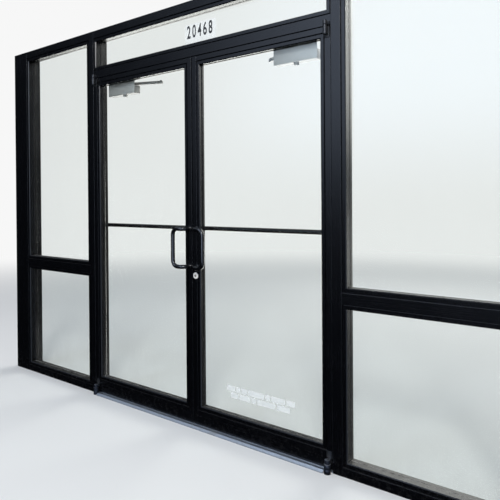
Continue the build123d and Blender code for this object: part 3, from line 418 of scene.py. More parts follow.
worn_aluminium = mill_aluminium("mill_aluminium")
wear(worn_aluminium, "threshold")
saddle_low, saddle_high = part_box("threshold")
saddle_middle = (saddle_low[1] + saddle_high[1]) / 2
FLUSH_ROD_RADIUS = 0.00475
bolt_low, bolt_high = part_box("bottom_flush_bolt")
strike_x, strike_y = bolt_low[0] + FLUSH_ROD_RADIUS, (bolt_low[1] + bolt_high[1]) / 2
STRIKE_OUTER, STRIKE_INNER, STRIKE_RISE, STRIKE_CHAMFER = 0.0095, 0.0061, 0.0011, 0.0005
STRIKE_ROOM = 0.0105
ribs = bmesh.new()
for count in range(RIB_COUNT):
    y = saddle_middle + (count - (RIB_COUNT - 1) / 2) * RIB_PITCH
    spans = [(saddle_low[0] + RIB_END_GAP, saddle_high[0] - RIB_END_GAP)]
    if abs(y - strike_y) < STRIKE_ROOM + RIB_WIDTH / 2:
        spans = [(spans[0][0], strike_x - STRIKE_ROOM), (strike_x + STRIKE_ROOM, spans[0][1])]
    for start, end in spans:
        add_rib(ribs, start, end, y, saddle_high[2])
add_turned(ribs, ((STRIKE_INNER, 0), (STRIKE_INNER, STRIKE_RISE),
                  (STRIKE_OUTER - STRIKE_CHAMFER, STRIKE_RISE), (STRIKE_OUTER, 0)),
           Matrix.Translation((strike_x, strike_y, saddle_high[2])))
SADDLE_SCREW = 0.009
SADDLE_SCREW_SPAN = 0.40
SADDLE_SCREW_EDGE = 0.0205
SADDLE_SCREW_COLUMNS = (-2, -1, 0, 1, 2)
for column in SADDLE_SCREW_COLUMNS:
    for y in (saddle_low[1] + SADDLE_SCREW_EDGE, saddle_high[1] - SADDLE_SCREW_EDGE):
        add_screw(ribs, (column * SADDLE_SCREW_SPAN, y, saddle_high[2]), (0, 0, 1), SADDLE_SCREW)
settle(ribs, "threshold_ribs", worn_aluminium, "frame")


# Door stops and weatherstrips: a black stop around the doorway, with a dense pile pressed in its face.
# The right leaf carries another strip of pile along its meeting edge.
PILE_ROOTS, PILE_TIPS = (0.012, 0.012, 0.013, 1), (0.07, 0.07, 0.07, 1)
HAIRS = (900.0, 60.0, 900.0)


def brush_pile(name):
    made, wire = start_finish(name)
    hairs = cloud(wire, stretched(wire, HAIRS), 1.0, 3.0, 0.7)
    coat(wire, {
        "Base Color": blend_colours(wire, hairs, PILE_ROOTS, PILE_TIPS),
        "Roughness": 0.9,
        "Normal": height_to_normal(wire, hairs, 0.6, 0.001),
    })
    return made


pile = brush_pile("grey_pile")
wear(pile, "weatherstrips", "meeting_weatherstrip")
wear(black_upright, "door_stops")


# Leaves: stiles and rails of the same black extrusion, bolted at the corners, with bevelled stops
# and gaskets like those of the frame.
for side in ("left", "right"):
    wear(black_upright, f"{side}_hinge_stile", f"{side}_meeting_stile", f"{side}_stops")
    wear(black_bar, f"{side}_top_rail", f"{side}_bottom_rail")
stile_low, stile_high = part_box("right_hinge_stile")
leaf_opening = (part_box("right_meeting_stile")[1][0], stile_low[0],
                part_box("right_bottom_rail")[1][2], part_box("right_top_rail")[0][2])
leaf_front, leaf_back, leaf_top = stile_low[1], stile_high[1], stile_high[2]
pane_front, pane_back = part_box("right_glass")[0][1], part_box("right_glass")[1][1]
for side in ("right", "left"):
    seal_panes(f"{side}_leaf_gasket_lips", f"{side}_leaf", (leaf_opening,), SIGHT_INSET,
               pane_front, pane_back)


# Pivots: offset castings that carry each leaf in front of its face, pinned at top and bottom.
# The upper pair is black. The lower pair is dark plated steel, with a painted highlight on its upper faces.
MOTTLE_SCALE, SPOT_SCALE, SPOT_LEVELS = 120.0, 45.0, (0.42, 0.72)
PIVOT_MOTTLE_SCALE, PAINTED_HIGHLIGHT_LEVELS = 130.0, (0.25, 0.5)


def plated_steel(name, colour, dull, roughness, metal=1.0):
    made, wire = start_finish(name)
    mottle = cloud(wire, place_on(wire), MOTTLE_SCALE, 4.0, 0.6)
    spots = between(wire, cloud(wire, place_on(wire), SPOT_SCALE, 5.0, 0.65), *SPOT_LEVELS)
    coat(wire, {
        "Base Color": blend_colours(wire, spots, colour, dull),
        "Metallic": metal - spots * 0.15,
        "Roughness": roughness + mottle * 0.12 + spots * 0.15,
        "Normal": height_to_normal(wire, mottle, 0.12, 0.0004),
    })
    return made


def steel_with_painted_top_highlight(name, side_colour, painted_highlight_colour):
    """Dark plating, painted lighter in mottled patches where it faces up: a painted highlight on the tops."""
    made, wire = start_finish(name)
    mottle = cloud(wire, place_on(wire), PIVOT_MOTTLE_SCALE, 4.0, 0.6)
    # Painted highlight: faces that look up get the pale colour in mottled patches, standing in for light
    # falling on the tops.
    painted_top_highlight = facing_up(wire) * between(wire, mottle, *PAINTED_HIGHLIGHT_LEVELS)
    coat(wire, {
        "Base Color": blend_colours(wire, painted_top_highlight, side_colour, painted_highlight_colour),
        "Metallic": 0.75 + painted_top_highlight * 0.2,
        "Roughness": 0.36 + mottle * 0.14 - painted_top_highlight * 0.08,
        "Normal": height_to_normal(wire, mottle, 0.15, 0.0004),
    })
    return made


def add_block(shape, low, high, bevel):
    """A block between two corners, with rounded edges."""
    low, high = Vector(low), Vector(high)
    place = Matrix.Translation((low + high) / 2) @ Matrix.Diagonal((*(high - low), 1.0))
    corners = bmesh.ops.create_cube(shape, size=1.0, matrix=place)["verts"]
    edges = {edge for corner in corners for edge in corner.link_edges}
    bmesh.ops.bevel(shape, geom=list(edges), offset=bevel, segments=2, profile=0.5, affect="EDGES")


def turned_edge(radius, bottom, top, chamfer):
    """The outline of a closed round body with chamfered ends."""
    return ((0, bottom), (radius - chamfer, bottom), (radius, bottom + chamfer),
            (radius, top - chamfer), (radius - chamfer, top), (0, top))


# The pale second colour of the bottom pivots is a painted highlight on their up-facing faces.
pivot_steel_painted_highlight = steel_with_painted_top_highlight("pivot_steel_painted_highlight", (0.022, 0.026, 0.036, 1), (0.62, 0.64, 0.68, 1))
black_steel = plated_steel("black_pivot_steel", (0.020, 0.022, 0.026, 1), (0.045, 0.045, 0.046, 1), 0.30, 0.6)
CHAMFER = 0.0012
PLATE_THICKNESS = 0.003
PLATE_HALF_WIDTH = 0.013
PLATE_SCREW = 0.0075
PLATE_SCREW_EDGE = 0.009
PLATE_SCREW_NEXT = 0.0243
TOP_PLATE_SCREW_EDGE = 0.00675
BRIDGE_HALF_WIDTH = 0.008
KNUCKLE_RADIUS = 0.010
KNUCKLE_HEIGHT = 0.044
TOP_PIN_RADIUS = 0.005
KNUCKLE_GAP = 0.002
PIN_GAP = 0.0001
DISC_HEIGHT = 0.0195
DISC_RADIUS = 0.014
DISC_GAP = 0.0005
BASE_RADIUS = 0.017
BASE_GROOVE_DEPTH = 0.0010
BASE_GROOVE = 0.0014
LOWER_PIN_RADIUS = 0.0055
LOWER_PIN_RISE = 0.0008
LOWER_PIN_CHAMFER = 0.0004
BASE_STEPS = 56

arm_low, arm_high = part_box("right_top_pivot_arm")
disc_low, disc_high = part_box("right_bottom_pivot_arm")
pivot_x = (arm_low[0] + arm_high[0]) / 2
pivot_y = arm_low[1] + KNUCKLE_RADIUS
knuckle_bottom = arm_high[2] - KNUCKLE_HEIGHT
bracket_bottom, bracket_top = arm_high[2] + KNUCKLE_GAP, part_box("top_pivot_brackets")[1][2]
base_top = disc_low[2] - DISC_GAP
base_middle = base_top / 2
disc_top = disc_low[2] + DISC_HEIGHT
pivot_axis = Matrix.Translation((pivot_x, pivot_y, 0))


def add_bridge(shape, face, bottom, top):
    """The web from a knuckle back to the plate behind it."""
    add_block(shape, (pivot_x - BRIDGE_HALF_WIDTH, pivot_y, bottom),
              (pivot_x + BRIDGE_HALF_WIDTH, face, top), CHAMFER)


def add_plate(shape, face, bottom, top, screws):
    """A plate screwed to the face of a member."""
    front = face - PLATE_THICKNESS
    add_block(shape, (pivot_x - PLATE_HALF_WIDTH, front, bottom),
              (pivot_x + PLATE_HALF_WIDTH, face, top), CHAMFER)
    for height in screws:
        add_screw(shape, (pivot_x, front, height), (0, -1, 0), PLATE_SCREW)


for side in ("right", "left"):
    knuckle = bmesh.new()
    add_turned(knuckle, turned_edge(KNUCKLE_RADIUS, knuckle_bottom, arm_high[2], CHAMFER), pivot_axis)
    add_bridge(knuckle, leaf_front, knuckle_bottom, leaf_top - KNUCKLE_GAP)
    add_plate(knuckle, leaf_front, arm_low[2], leaf_top, (arm_low[2] + TOP_PLATE_SCREW_EDGE,))
    lower_plate = bmesh.new()
    add_plate(lower_plate, leaf_front, disc_low[2], disc_high[2],
              (disc_high[2] - PLATE_SCREW_EDGE, disc_high[2] - PLATE_SCREW_NEXT))
    disc = bmesh.new()
    add_turned(disc, turned_edge(DISC_RADIUS, disc_low[2], disc_top, CHAMFER), pivot_axis)
    add_turned(disc, turned_edge(LOWER_PIN_RADIUS, disc_top - CHAMFER, disc_top + LOWER_PIN_RISE,
                                 LOWER_PIN_CHAMFER), pivot_axis)
    add_bridge(disc, leaf_front - PLATE_THICKNESS, disc_low[2], disc_top)
    for shape, name, steel, node in (
        (knuckle, "top_pivot_knuckle", black_steel, "top_pivot_arm"),
        (lower_plate, "bottom_pivot_plate", black_steel, "bottom_pivot_arm"),
        (disc, "bottom_pivot_disc", pivot_steel_painted_highlight, "bottom_pivot_arm"),
    ):
        settle(shape, f"{side}_{name}", steel, f"{side}_leaf", (f"{side}_{node}",))

    bracket = bmesh.new()
    add_turned(bracket, turned_edge(KNUCKLE_RADIUS, bracket_bottom, bracket_top, CHAMFER), pivot_axis)
    add_turned(bracket, ((TOP_PIN_RADIUS, arm_high[2] + PIN_GAP), (TOP_PIN_RADIUS, bracket_bottom)),
               pivot_axis)
    add_bridge(bracket, 0.0, bracket_bottom, bracket_top)
    add_plate(bracket, 0.0, bracket_bottom, bracket_top, ())
    base = bmesh.new()
    add_turned(base, ((0, 0), (BASE_RADIUS, 0), (BASE_RADIUS, base_middle - BASE_GROOVE),
                      (BASE_RADIUS - BASE_GROOVE_DEPTH, base_middle),
                      (BASE_RADIUS, base_middle + BASE_GROOVE),
                      (BASE_RADIUS, base_top - CHAMFER), (BASE_RADIUS - CHAMFER, base_top), (0, base_top)),
               pivot_axis, BASE_STEPS)
    for shape, name, steel, node in (
        (bracket, "top_pivot_bracket", black_steel, "top_pivot_brackets"),
        (base, "bottom_pivot_base", pivot_steel_painted_highlight, "bottom_pivot_bases"),
    ):
        settle(shape, f"{side}_{name}", steel, "frame", (node,))


# Pull handles: bent round bars in black anodised aluminium, bolted through the meeting stiles.
# Hands keep them polished, and each end stands on a turned rose.
HANDLE_BLACK, HANDLED_BLACK = (0.0010, 0.0012, 0.0018, 1), (0.003, 0.0032, 0.004, 1)
HAND_SCALE = 22.0


def polished_black(name):
    made, wire = start_finish(name)
    handled = cloud(wire, place_on(wire), HAND_SCALE, 4.0, 0.6)
    coat(wire, {
        "Base Color": blend_colours(wire, handled, HANDLE_BLACK, HANDLED_BLACK),
        "Roughness": 0.05 + handled * 0.06,
        "Specular IOR Level": 0.55,
        "Normal": height_to_normal(wire, cloud(wire, stretched(wire, ALONG_Z), 1.0), 0.05, 0.0003),
    })
    return made


def bent_route(corners, radius, steps=12):
    """The middle line of a bent bar: straight runs, with an arc of the given radius at each corner."""
    corners = [Vector(corner) for corner in corners]
    route = [corners[0]]
    for before, corner, after in zip(corners, corners[1:], corners[2:]):
        first, last = (before - corner).normalized(), (after - corner).normalized()
        half = first.angle(last) / 2
        centre = corner + (first + last).normalized() * radius / math.sin(half)
        start = (corner + first * radius / math.tan(half) - centre).normalized()
        end = (corner + last * radius / math.tan(half) - centre).normalized()
        route += [centre + start.slerp(end, step / steps) * radius for step in range(steps + 1)]
    return route + [corners[-1]]


def add_round_bar(shape, route, radius, sides=32):
    """A round bar along a route, closed at both ends."""
    neighbours = zip(route[:1] + route[:-1], route[1:] + route[-1:])
    tangents = [(after - before).normalized() for before, after in neighbours]
    across = tangents[0].orthogonal().normalized()
    rings = []
    for count, (point, tangent) in enumerate(zip(route, tangents)):
        if count:
            across.rotate(tangents[count - 1].rotation_difference(tangent))
        other = tangent.cross(across)
        turns = [2 * math.pi * step / sides for step in range(sides)]
        rings.append([shape.verts.new(point + (across * math.cos(turn) + other * math.sin(turn)) * radius)
                      for turn in turns])
    for near, far in zip(rings, rings[1:]):
        for count in range(sides):
            shape.faces.new((near[count - 1], near[count], far[count], far[count - 1]))
    shape.faces.new(rings[0][::-1])
    shape.faces.new(rings[-1])


polished = polished_black("polished_black_handle")
PULL_RADIUS = 0.0127
PULL_BEND = 0.036
ROSE_RADIUS = 0.017
ROSE_THICKNESS = 0.003
ROSE_ROUND = 0.0010
pull_low, pull_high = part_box("right_pull_handle")
foot_x = pull_low[0] + ROSE_RADIUS
grip_x, grip_y = pull_high[0] - PULL_RADIUS, pull_low[1] + PULL_RADIUS
pull_top, pull_bottom = pull_high[2] - ROSE_RADIUS, pull_low[2] + ROSE_RADIUS
for side in ("right", "left"):
    grip = bmesh.new()
    add_round_bar(grip, bent_route((
        (foot_x, leaf_front, pull_top), (foot_x, grip_y, pull_top), (grip_x, grip_y, pull_top),
        (grip_x, grip_y, pull_bottom), (foot_x, grip_y, pull_bottom), (foot_x, leaf_front, pull_bottom)),
        PULL_BEND), PULL_RADIUS)
    for height in (pull_top, pull_bottom):
        add_turned(grip, turned_edge(ROSE_RADIUS, 0, ROSE_THICKNESS, ROSE_ROUND),
                   facing((foot_x, leaf_front, height), (0, -1, 0)))
    settle(grip, f"{side}_pull_grip", polished, f"{side}_leaf", (f"{side}_pull_handle",))


# Push bars: round black bars across the room side of each leaf, bent back to both stiles.
# A set screw under each end holds the bar on its stud.
PUSH_RADIUS = 0.0127
PUSH_BEND = 0.030
SET_SCREW = 0.005
SET_SCREW_INSET = 0.008
SET_SCREW_LIFT = 0.0002
push_low, push_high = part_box("right_push_bar")
push_y, push_z = push_high[1] - PUSH_RADIUS, (push_low[2] + push_high[2]) / 2
push_ends = (push_low[0] + PUSH_RADIUS, push_high[0] - PUSH_RADIUS)
for side in ("right", "left"):
    bar = bmesh.new()
    add_round_bar(bar, bent_route((
        (push_ends[0], leaf_back, push_z), (push_ends[0], push_y, push_z),
        (push_ends[1], push_y, push_z), (push_ends[1], leaf_back, push_z)), PUSH_BEND), PUSH_RADIUS)
    for x in push_ends:
        add_screw(bar, (x, leaf_back + SET_SCREW_INSET, push_low[2] + SET_SCREW_LIFT), (0, 0, -1), SET_SCREW)
    settle(bar, f"{side}_push_rail", polished, f"{side}_leaf", (f"{side}_push_bar",))


# Closers: a cast body with end caps, screwed to a drop plate on the top rail. A flat main arm turns
# on its spindle, and a forearm runs from the elbow to a shoe under the transom bar.
CLOSER_GREY, CLOSER_PALE = (0.345, 0.338, 0.332, 1), (0.41, 0.402, 0.395, 1)
PEEL_SCALE, TONE_SCALE = 260.0, 14.0


def sprayed_grey(name):
    made, wire = start_finish(name)
    peel = cloud(wire, place_on(wire), PEEL_SCALE, 2.0)
    coat(wire, {
        "Base Color": blend_colours(wire, cloud(wire, place_on(wire), TONE_SCALE), CLOSER_GREY, CLOSER_PALE),
        "Metallic": 0.35,
        "Roughness": 0.40 + peel * 0.15,
        "Normal": height_to_normal(wire, peel, 0.15, 0.0006),
    })
    return made


def arc_points(centre_x, centre_y, radius, start, end, steps):
    """Points along an arc, with its angles in degrees."""
    turns = [math.radians(start + (end - start) * step / steps) for step in range(steps + 1)]
    return [(centre_x + radius * math.cos(turn), centre_y + radius * math.sin(turn)) for turn in turns]


def arm_outline(length, half_width, hub_radius):
    """The outline of a flat arm with a round hub at each end."""
    reach = math.degrees(math.asin(half_width / hub_radius))
    return (arc_points(0, 0, hub_radius, reach, 360 - reach, 16)
            + arc_points(length, 0, hub_radius, reach - 180, 180 - reach, 16))


def add_slab(shape, outline, place, thickness, bevel):
    """A flat piece with an outline in the XY of a frame, and rounded edges on its two faces."""
    lower, upper = [[shape.verts.new(place @ Vector((x, y, height))) for x, y in outline]
                    for height in (0, thickness)]
    shape.faces.new(lower[::-1])
    shape.faces.new(upper)
    for count in range(len(outline)):
        shape.faces.new((lower[count - 1], lower[count], upper[count], upper[count - 1]))
    pairs = [(ring[count - 1], ring[count]) for ring in (lower, upper) for count in range(len(ring))]
    rims = [shape.edges.get(pair) for pair in pairs]
    bmesh.ops.bevel(shape, geom=rims, offset=bevel, segments=2, profile=0.5, affect="EDGES")


def arm_place(start, end, height):
    """A level frame at one end of an arm, whose X runs to the other end."""
    turn = math.atan2(end[1] - start[1], end[0] - start[0])
    return Matrix.Translation((*start, height)) @ Matrix.Rotation(turn, 4, "Z")


closer_grey = sprayed_grey("sprayed_grey")
bright_screws = plated_steel("plated_screws", (0.50, 0.51, 0.52, 1), (0.30, 0.29, 0.28, 1), 0.26)
wear(closer_grey, "closer_shoes")
DROP_PLATE = 0.003
DROP_MARGIN = 0.006
DROP_SCREW = 0.0085
DROP_SCREW_EDGE = 0.012
BODY_HEIGHT = 0.050
BOTTOM_CAP_RADIUS = 0.015
BOTTOM_CAP_HEIGHT = 0.012
BODY_ROUND = 0.007
BODY_BEVEL = 0.0009
CAP_LENGTH = 0.022
SEAM = 0.001
SEAM_DEPTH = 0.0012
CORE_BEVEL = 0.0002
VALVE = 0.009
VALVE_SHARES = (0.34, 0.66)
ARM_THICKNESS = 0.008
ARM_HALF_WIDTH = 0.009
HUB_RADIUS = 0.013
ARM_BEVEL = 0.0011
SPINDLE_RADIUS = 0.007
SPINDLE_HEAD = 0.010
ELBOW_PIN_RADIUS = 0.004
ELBOW_PIN_CHAMFER = 0.0004
ELBOW_PIN_STAND = 0.001
ELBOW_PIN_STEPS = 20
NUT_RADIUS = 0.0070
NUT_LIFT = 0.0004
NUT_HEIGHT = 0.0045
NUT_BEVEL = 0.0005
SHOE_PLATE = 0.004
SHOE_SCREW = 0.0075
SHOE_SCREW_EDGE = 0.010
closer_low, closer_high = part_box("right_closer")
main_low, main_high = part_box("right_closer_arm")
fore_low, fore_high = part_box("right_closer_forearm")
shoe_end, shoe_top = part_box("closer_shoes")[1][0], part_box("closer_shoes")[1][2]
plate_back, plate_middle = closer_low[1] + DROP_PLATE, (closer_low[0] + closer_high[0]) / 2
body_start, body_end = closer_low[0] + DROP_MARGIN, closer_high[0] - DROP_MARGIN
body_depth = closer_high[1] - plate_back
body_bottom = closer_low[2] + BOTTOM_CAP_HEIGHT
body_top = body_bottom + BODY_HEIGHT
spindle = (main_high[0] - HUB_RADIUS, main_low[1] + HUB_RADIUS)
elbow = (main_low[0] + HUB_RADIUS, main_high[1] - HUB_RADIUS)
shoe = (fore_high[0] - HUB_RADIUS, fore_low[1] + HUB_RADIUS)
arm_bottom = fore_low[2] - KNUCKLE_GAP - ARM_THICKNESS
arm_top = arm_bottom + ARM_THICKNESS
nut_bottom = fore_high[2] + NUT_LIFT


def body_outline(inset):
    """The section of the closer's body, from its flat back to its rounded front."""
    half, radius = BODY_HEIGHT / 2, BODY_ROUND - inset
    across, up = body_depth - BODY_ROUND, BODY_HEIGHT / 2 - BODY_ROUND
    return ([(inset, inset - half)] + arc_points(across, -up, radius, -90, 0, 6)
            + arc_points(across, up, radius, 0, 90, 6) + [(inset, half - inset)])


def body_place(x):
    """A frame across the closer, whose X runs into the room, Y up and Z along the closer."""
    axes = Matrix(((0, 0, 1), (1, 0, 0), (0, 1, 0))).to_4x4()
    return Matrix.Translation((x, plate_back, body_top - BODY_HEIGHT / 2)) @ axes


for side in ("right", "left"):
    body = bmesh.new()
    add_block(body, (closer_low[0], closer_low[1], body_bottom),
              (closer_high[0], plate_back, closer_high[2]), CHAMFER)
    for start, end in ((body_start, body_start + CAP_LENGTH),
                       (body_start + CAP_LENGTH + SEAM, body_end - CAP_LENGTH - SEAM),
                       (body_end - CAP_LENGTH, body_end)):
        add_slab(body, body_outline(0), body_place(start), end - start, BODY_BEVEL)
    add_slab(body, body_outline(SEAM_DEPTH), body_place(body_start + SEAM),
             body_end - body_start - 2 * SEAM, CORE_BEVEL)
    add_turned(body, turned_edge(BOTTOM_CAP_RADIUS, closer_low[2], body_bottom + CHAMFER, 2 * CHAMFER),
               Matrix.Translation((*spindle, 0)))

    screws = bmesh.new()
    for x in (closer_low[0] + DROP_SCREW_EDGE, plate_middle, closer_high[0] - DROP_SCREW_EDGE):
        add_screw(screws, (x, plate_back, closer_high[2] - DROP_SCREW_EDGE), (0, 1, 0), DROP_SCREW)
    for share in VALVE_SHARES:
        add_screw(screws, (body_start, plate_back + body_depth / 2, body_bottom + BODY_HEIGHT * share),
                  (-1, 0, 0), VALVE)

    main = bmesh.new()
    add_slab(main, arm_outline(math.dist(spindle, elbow), ARM_HALF_WIDTH, HUB_RADIUS),
             arm_place(spindle, elbow, arm_bottom), ARM_THICKNESS, ARM_BEVEL)
    add_turned(main, ((SPINDLE_RADIUS, body_top), (SPINDLE_RADIUS, arm_bottom + ARM_BEVEL)),
               Matrix.Translation((*spindle, 0)))
    add_screw(main, (*spindle, arm_top), (0, 0, 1), SPINDLE_HEAD)
    add_turned(main, turned_edge(ELBOW_PIN_RADIUS, arm_top - ARM_BEVEL,
                                 nut_bottom + NUT_HEIGHT + ELBOW_PIN_STAND, ELBOW_PIN_CHAMFER),
               Matrix.Translation((*elbow, 0)), ELBOW_PIN_STEPS)
    add_slab(main, arc_points(0, 0, NUT_RADIUS, 0, 300, 5), Matrix.Translation((*elbow, nut_bottom)),
             NUT_HEIGHT, NUT_BEVEL)

    fore = bmesh.new()
    add_slab(fore, arm_outline(math.dist(shoe, elbow), ARM_HALF_WIDTH, HUB_RADIUS),
             arm_place(shoe, elbow, fore_low[2]), ARM_THICKNESS, ARM_BEVEL)

    shoe_screws = bmesh.new()
    for x in (shoe_end - SHOE_SCREW_EDGE, 2 * shoe[0] - shoe_end + SHOE_SCREW_EDGE):
        add_screw(shoe_screws, (x, shoe[1], shoe_top - SHOE_PLATE), (0, 0, -1), SHOE_SCREW)
    for shape, name, finish, moving, replaced in (
        (body, "closer_body", closer_grey, f"{side}_leaf", (f"{side}_closer",)),
        (screws, "closer_screws", bright_screws, f"{side}_leaf", ()),
        (main, "closer_main_arm", closer_grey, f"{side}_closer_arm", (f"{side}_closer_arm",)),
        (fore, "closer_link", closer_grey, f"{side}_closer_forearm", (f"{side}_closer_forearm",)),
        (shoe_screws, "closer_shoe_screws", bright_screws, "frame", ()),
    ):
        settle(shape, f"{side}_{name}", finish, moving, replaced)


# Lock: a swinging bolt in the right leaf's meeting stile, with a key cylinder outside and a thumb turn
# inside. Both cylinders stand in turned collars of satin metal.
lock_metal = plated_steel("satin_lock_metal", (0.84, 0.83, 0.80, 1), (0.66, 0.64, 0.60, 1), 0.26, 0.35)
wear(lock_metal, "lock_body", "lock_bolt")
wear(plated_steel("dull_plug_brass", (0.20, 0.18, 0.15, 1), (0.12, 0.11, 0.10, 1), 0.34, 0.35), "lock_plug")
COLLAR_RADIUS = 0.0182
COLLAR_HEIGHT = 0.0044
COLLAR_RIM, COLLAR_SHOULDER = 0.00154, 0.00308
COLLAR_SLOPE, COLLAR_CROWN = 0.0008, 0.0024
CYLINDER_RADIUS = 0.0146
CYLINDER_GAP, COLLAR_LIP, COLLAR_LIP_DROP = 0.0002, 0.0010, 0.0006
COLLAR_STEPS = 56
TURN_LENGTH = 0.034
TURN_DEPTH = 0.018
TURN_HALF_THICKNESS = 0.003
TURN_BEVEL = 0.0009
TURN_SHAFT_RADIUS = 0.005
plug_low, plug_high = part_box("lock_plug")
turn_low, turn_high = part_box("thumb_turn")
lock_x, lock_z = (plug_low[0] + plug_high[0]) / 2, (plug_low[2] + plug_high[2]) / 2
collar_outline = (
    (COLLAR_RADIUS, 0), (COLLAR_RADIUS, COLLAR_RIM), (COLLAR_RADIUS - COLLAR_SLOPE, COLLAR_SHOULDER),
    (COLLAR_RADIUS - COLLAR_CROWN, COLLAR_HEIGHT), (CYLINDER_RADIUS + COLLAR_LIP, COLLAR_HEIGHT),
    (CYLINDER_RADIUS + CYLINDER_GAP, COLLAR_HEIGHT - COLLAR_LIP_DROP),
)
for face, direction, name in ((leaf_front, -1, "outer"), (leaf_back, 1, "inner")):
    collar = bmesh.new()
    add_turned(collar, collar_outline, facing((lock_x, face, lock_z), (0, direction, 0)), COLLAR_STEPS)
    settle(collar, f"lock_{name}_collar", lock_metal, "right_leaf")
paddle_start = turn_high[1] - TURN_DEPTH
paddle_reach = TURN_LENGTH - 2 * TURN_HALF_THICKNESS
paddle_foot = Matrix.Translation((lock_x, paddle_start, lock_z - paddle_reach / 2))
upright = Matrix(((0, 1, 0), (0, 0, 1), (1, 0, 0))).to_4x4()
turn = bmesh.new()
add_slab(turn, arm_outline(paddle_reach, TURN_HALF_THICKNESS, TURN_HALF_THICKNESS),
         paddle_foot @ upright, TURN_DEPTH, TURN_BEVEL)
add_turned(turn, ((TURN_SHAFT_RADIUS, turn_low[1]), (TURN_SHAFT_RADIUS, paddle_start)),
           facing((lock_x, 0, lock_z), (0, 1, 0)))
settle(turn, "thumb_turn_paddle", lock_metal, "thumb_turn", ("thumb_turn",))


# Flush bolts: two sliding bolts behind steel plates in the edge of the left leaf, and the screws of
# these plates and of the lock's faceplate.
satin_steel = plated_steel("satin_bolt_steel", (0.52, 0.53, 0.54, 1), (0.32, 0.31, 0.30, 1), 0.26)
wear(satin_steel, "top_flush_bolt", "bottom_flush_bolt", "flush_bolt_plates")
EDGE_SCREW = 0.0065
EDGE_SCREW_INSET = 0.007
FLUSH_PLATE_HALF = 0.060
LOCK_PLATE_HALF = 0.075
LEVER_FROM_END = 0.236
TOP_THROW, BOTTOM_THROW = 0.019, 0.012
flush_plate_x, lock_plate_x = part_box("flush_bolt_plates")[1][0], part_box("lock_body")[0][0]
leaf_middle = (leaf_front + leaf_back) / 2
top_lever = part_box("top_flush_bolt")[1][2] - LEVER_FROM_END + TOP_THROW / 2
bottom_lever = bolt_low[2] + LEVER_FROM_END - BOTTOM_THROW / 2
flush_reach, lock_reach = FLUSH_PLATE_HALF - EDGE_SCREW_INSET, LOCK_PLATE_HALF - EDGE_SCREW_INSET
edge_screws = bmesh.new()
for middle in (top_lever, bottom_lever):
    for height in (middle + flush_reach, middle - flush_reach):
        add_screw(edge_screws, (flush_plate_x, leaf_middle, height), (1, 0, 0), EDGE_SCREW)
settle(edge_screws, "flush_bolt_screws", bright_screws, "left_leaf")
lock_screws = bmesh.new()
for height in (lock_z + lock_reach, lock_z - lock_reach):
    add_screw(lock_screws, (lock_plate_x, leaf_middle, height), (-1, 0, 0), EDGE_SCREW)
settle(lock_screws, "lock_plate_screws", bright_screws, "right_leaf")


# Markings on the glass: a plain dark number on a pale film above the doors, and two rows of blank
# pale bars on the right leaf. They are cut from thin film and stuck to the panes.
FILM_GRAIN, FILM_FADING = 160.0, 0.93


def thin_film(name, colour, cover):
    made, wire = start_finish(name)
    grain = cloud(wire, place_on(wire), FILM_GRAIN)
    faded = (*(level * FILM_FADING for level in colour[:3]), 1)
    coat(wire, {
        "Base Color": blend_colours(wire, grain, colour, faded),
        "Roughness": 0.45 + grain * 0.2,
        "Alpha": cover - grain * 0.05,
    })
    return made


def add_sheet(shape, left, right, bottom, top, y):
    """A thin sheet that faces the outside."""
    shape.faces.new([shape.verts.new(place) for place in
                     ((left, y, bottom), (right, y, bottom), (right, y, top), (left, y, top))])


dark_film = thin_film("dark_film", (0.012, 0.012, 0.014, 1), 1.0)
frosted_film = thin_film("frosted_film", (0.80, 0.84, 0.88, 1), 0.30)
NUMBER = "20468"
NUMBER_HEIGHT = 0.076
NUMBER_PITCH = 0.0427
DIGIT_WIDTH = 0.029
DIGIT_WEIGHT = 0.022
NUMBER_LEFT, NUMBER_BOTTOM = -0.068, 2.2605
PANEL_LEFT, PANEL_RIGHT, PANEL_BOTTOM, PANEL_TOP = -0.085, 0.159, 2.2175, 2.343
FILM_GAP = 0.0002
film = bmesh.new()
add_sheet(film, PANEL_LEFT, PANEL_RIGHT, PANEL_BOTTOM, PANEL_TOP, lite_front - FILM_GAP)
settle(film, "number_film", frosted_film, "frame")
digits = bmesh.new()
for count, digit in enumerate(NUMBER):
    drawn = bpy.data.curves.new("digit", "FONT")
    drawn.body = digit
    drawn.offset = DIGIT_WEIGHT
    holder = bpy.data.objects.new("digit", drawn)
    outline = bpy.data.meshes.new_from_object(holder)
    spread = [vertex.co for vertex in outline.vertices]
    left, right = min(co.x for co in spread), max(co.x for co in spread)
    bottom, top = min(co.y for co in spread), max(co.y for co in spread)
    for vertex in outline.vertices:
        vertex.co = (NUMBER_LEFT + count * NUMBER_PITCH + (vertex.co.x - left) / (right - left) * DIGIT_WIDTH,
                     lite_front - 2 * FILM_GAP,
                     NUMBER_BOTTOM + (vertex.co.y - bottom) / (top - bottom) * NUMBER_HEIGHT)
    digits.from_mesh(outline)
    bpy.data.objects.remove(holder)
    bpy.data.curves.remove(drawn)
    bpy.data.meshes.remove(outline)
settle(digits, "transom_number", dark_film, "frame")

# Each row of bars has its bottom, its top and the left and right end of every bar.
BAR_ROWS = (
    (0.253, 0.283, ((0.237, 0.296), (0.302, 0.330), (0.337, 0.378), (0.386, 0.491), (0.500, 0.530),
                    (0.538, 0.625), (0.633, 0.686))),
    (0.217, 0.247, ((0.266, 0.318), (0.326, 0.400), (0.409, 0.438), (0.446, 0.566), (0.575, 0.656))),
)
bars = bmesh.new()
for bottom, top, spans in BAR_ROWS:
    for left, right in spans:
        add_sheet(bars, left, right, bottom, top, pane_front - FILM_GAP)
white_film = thin_film("thin_white_film", (0.80, 0.83, 0.86, 1), 0.42)
settle(bars, "right_glass_bars", white_film, "right_leaf")


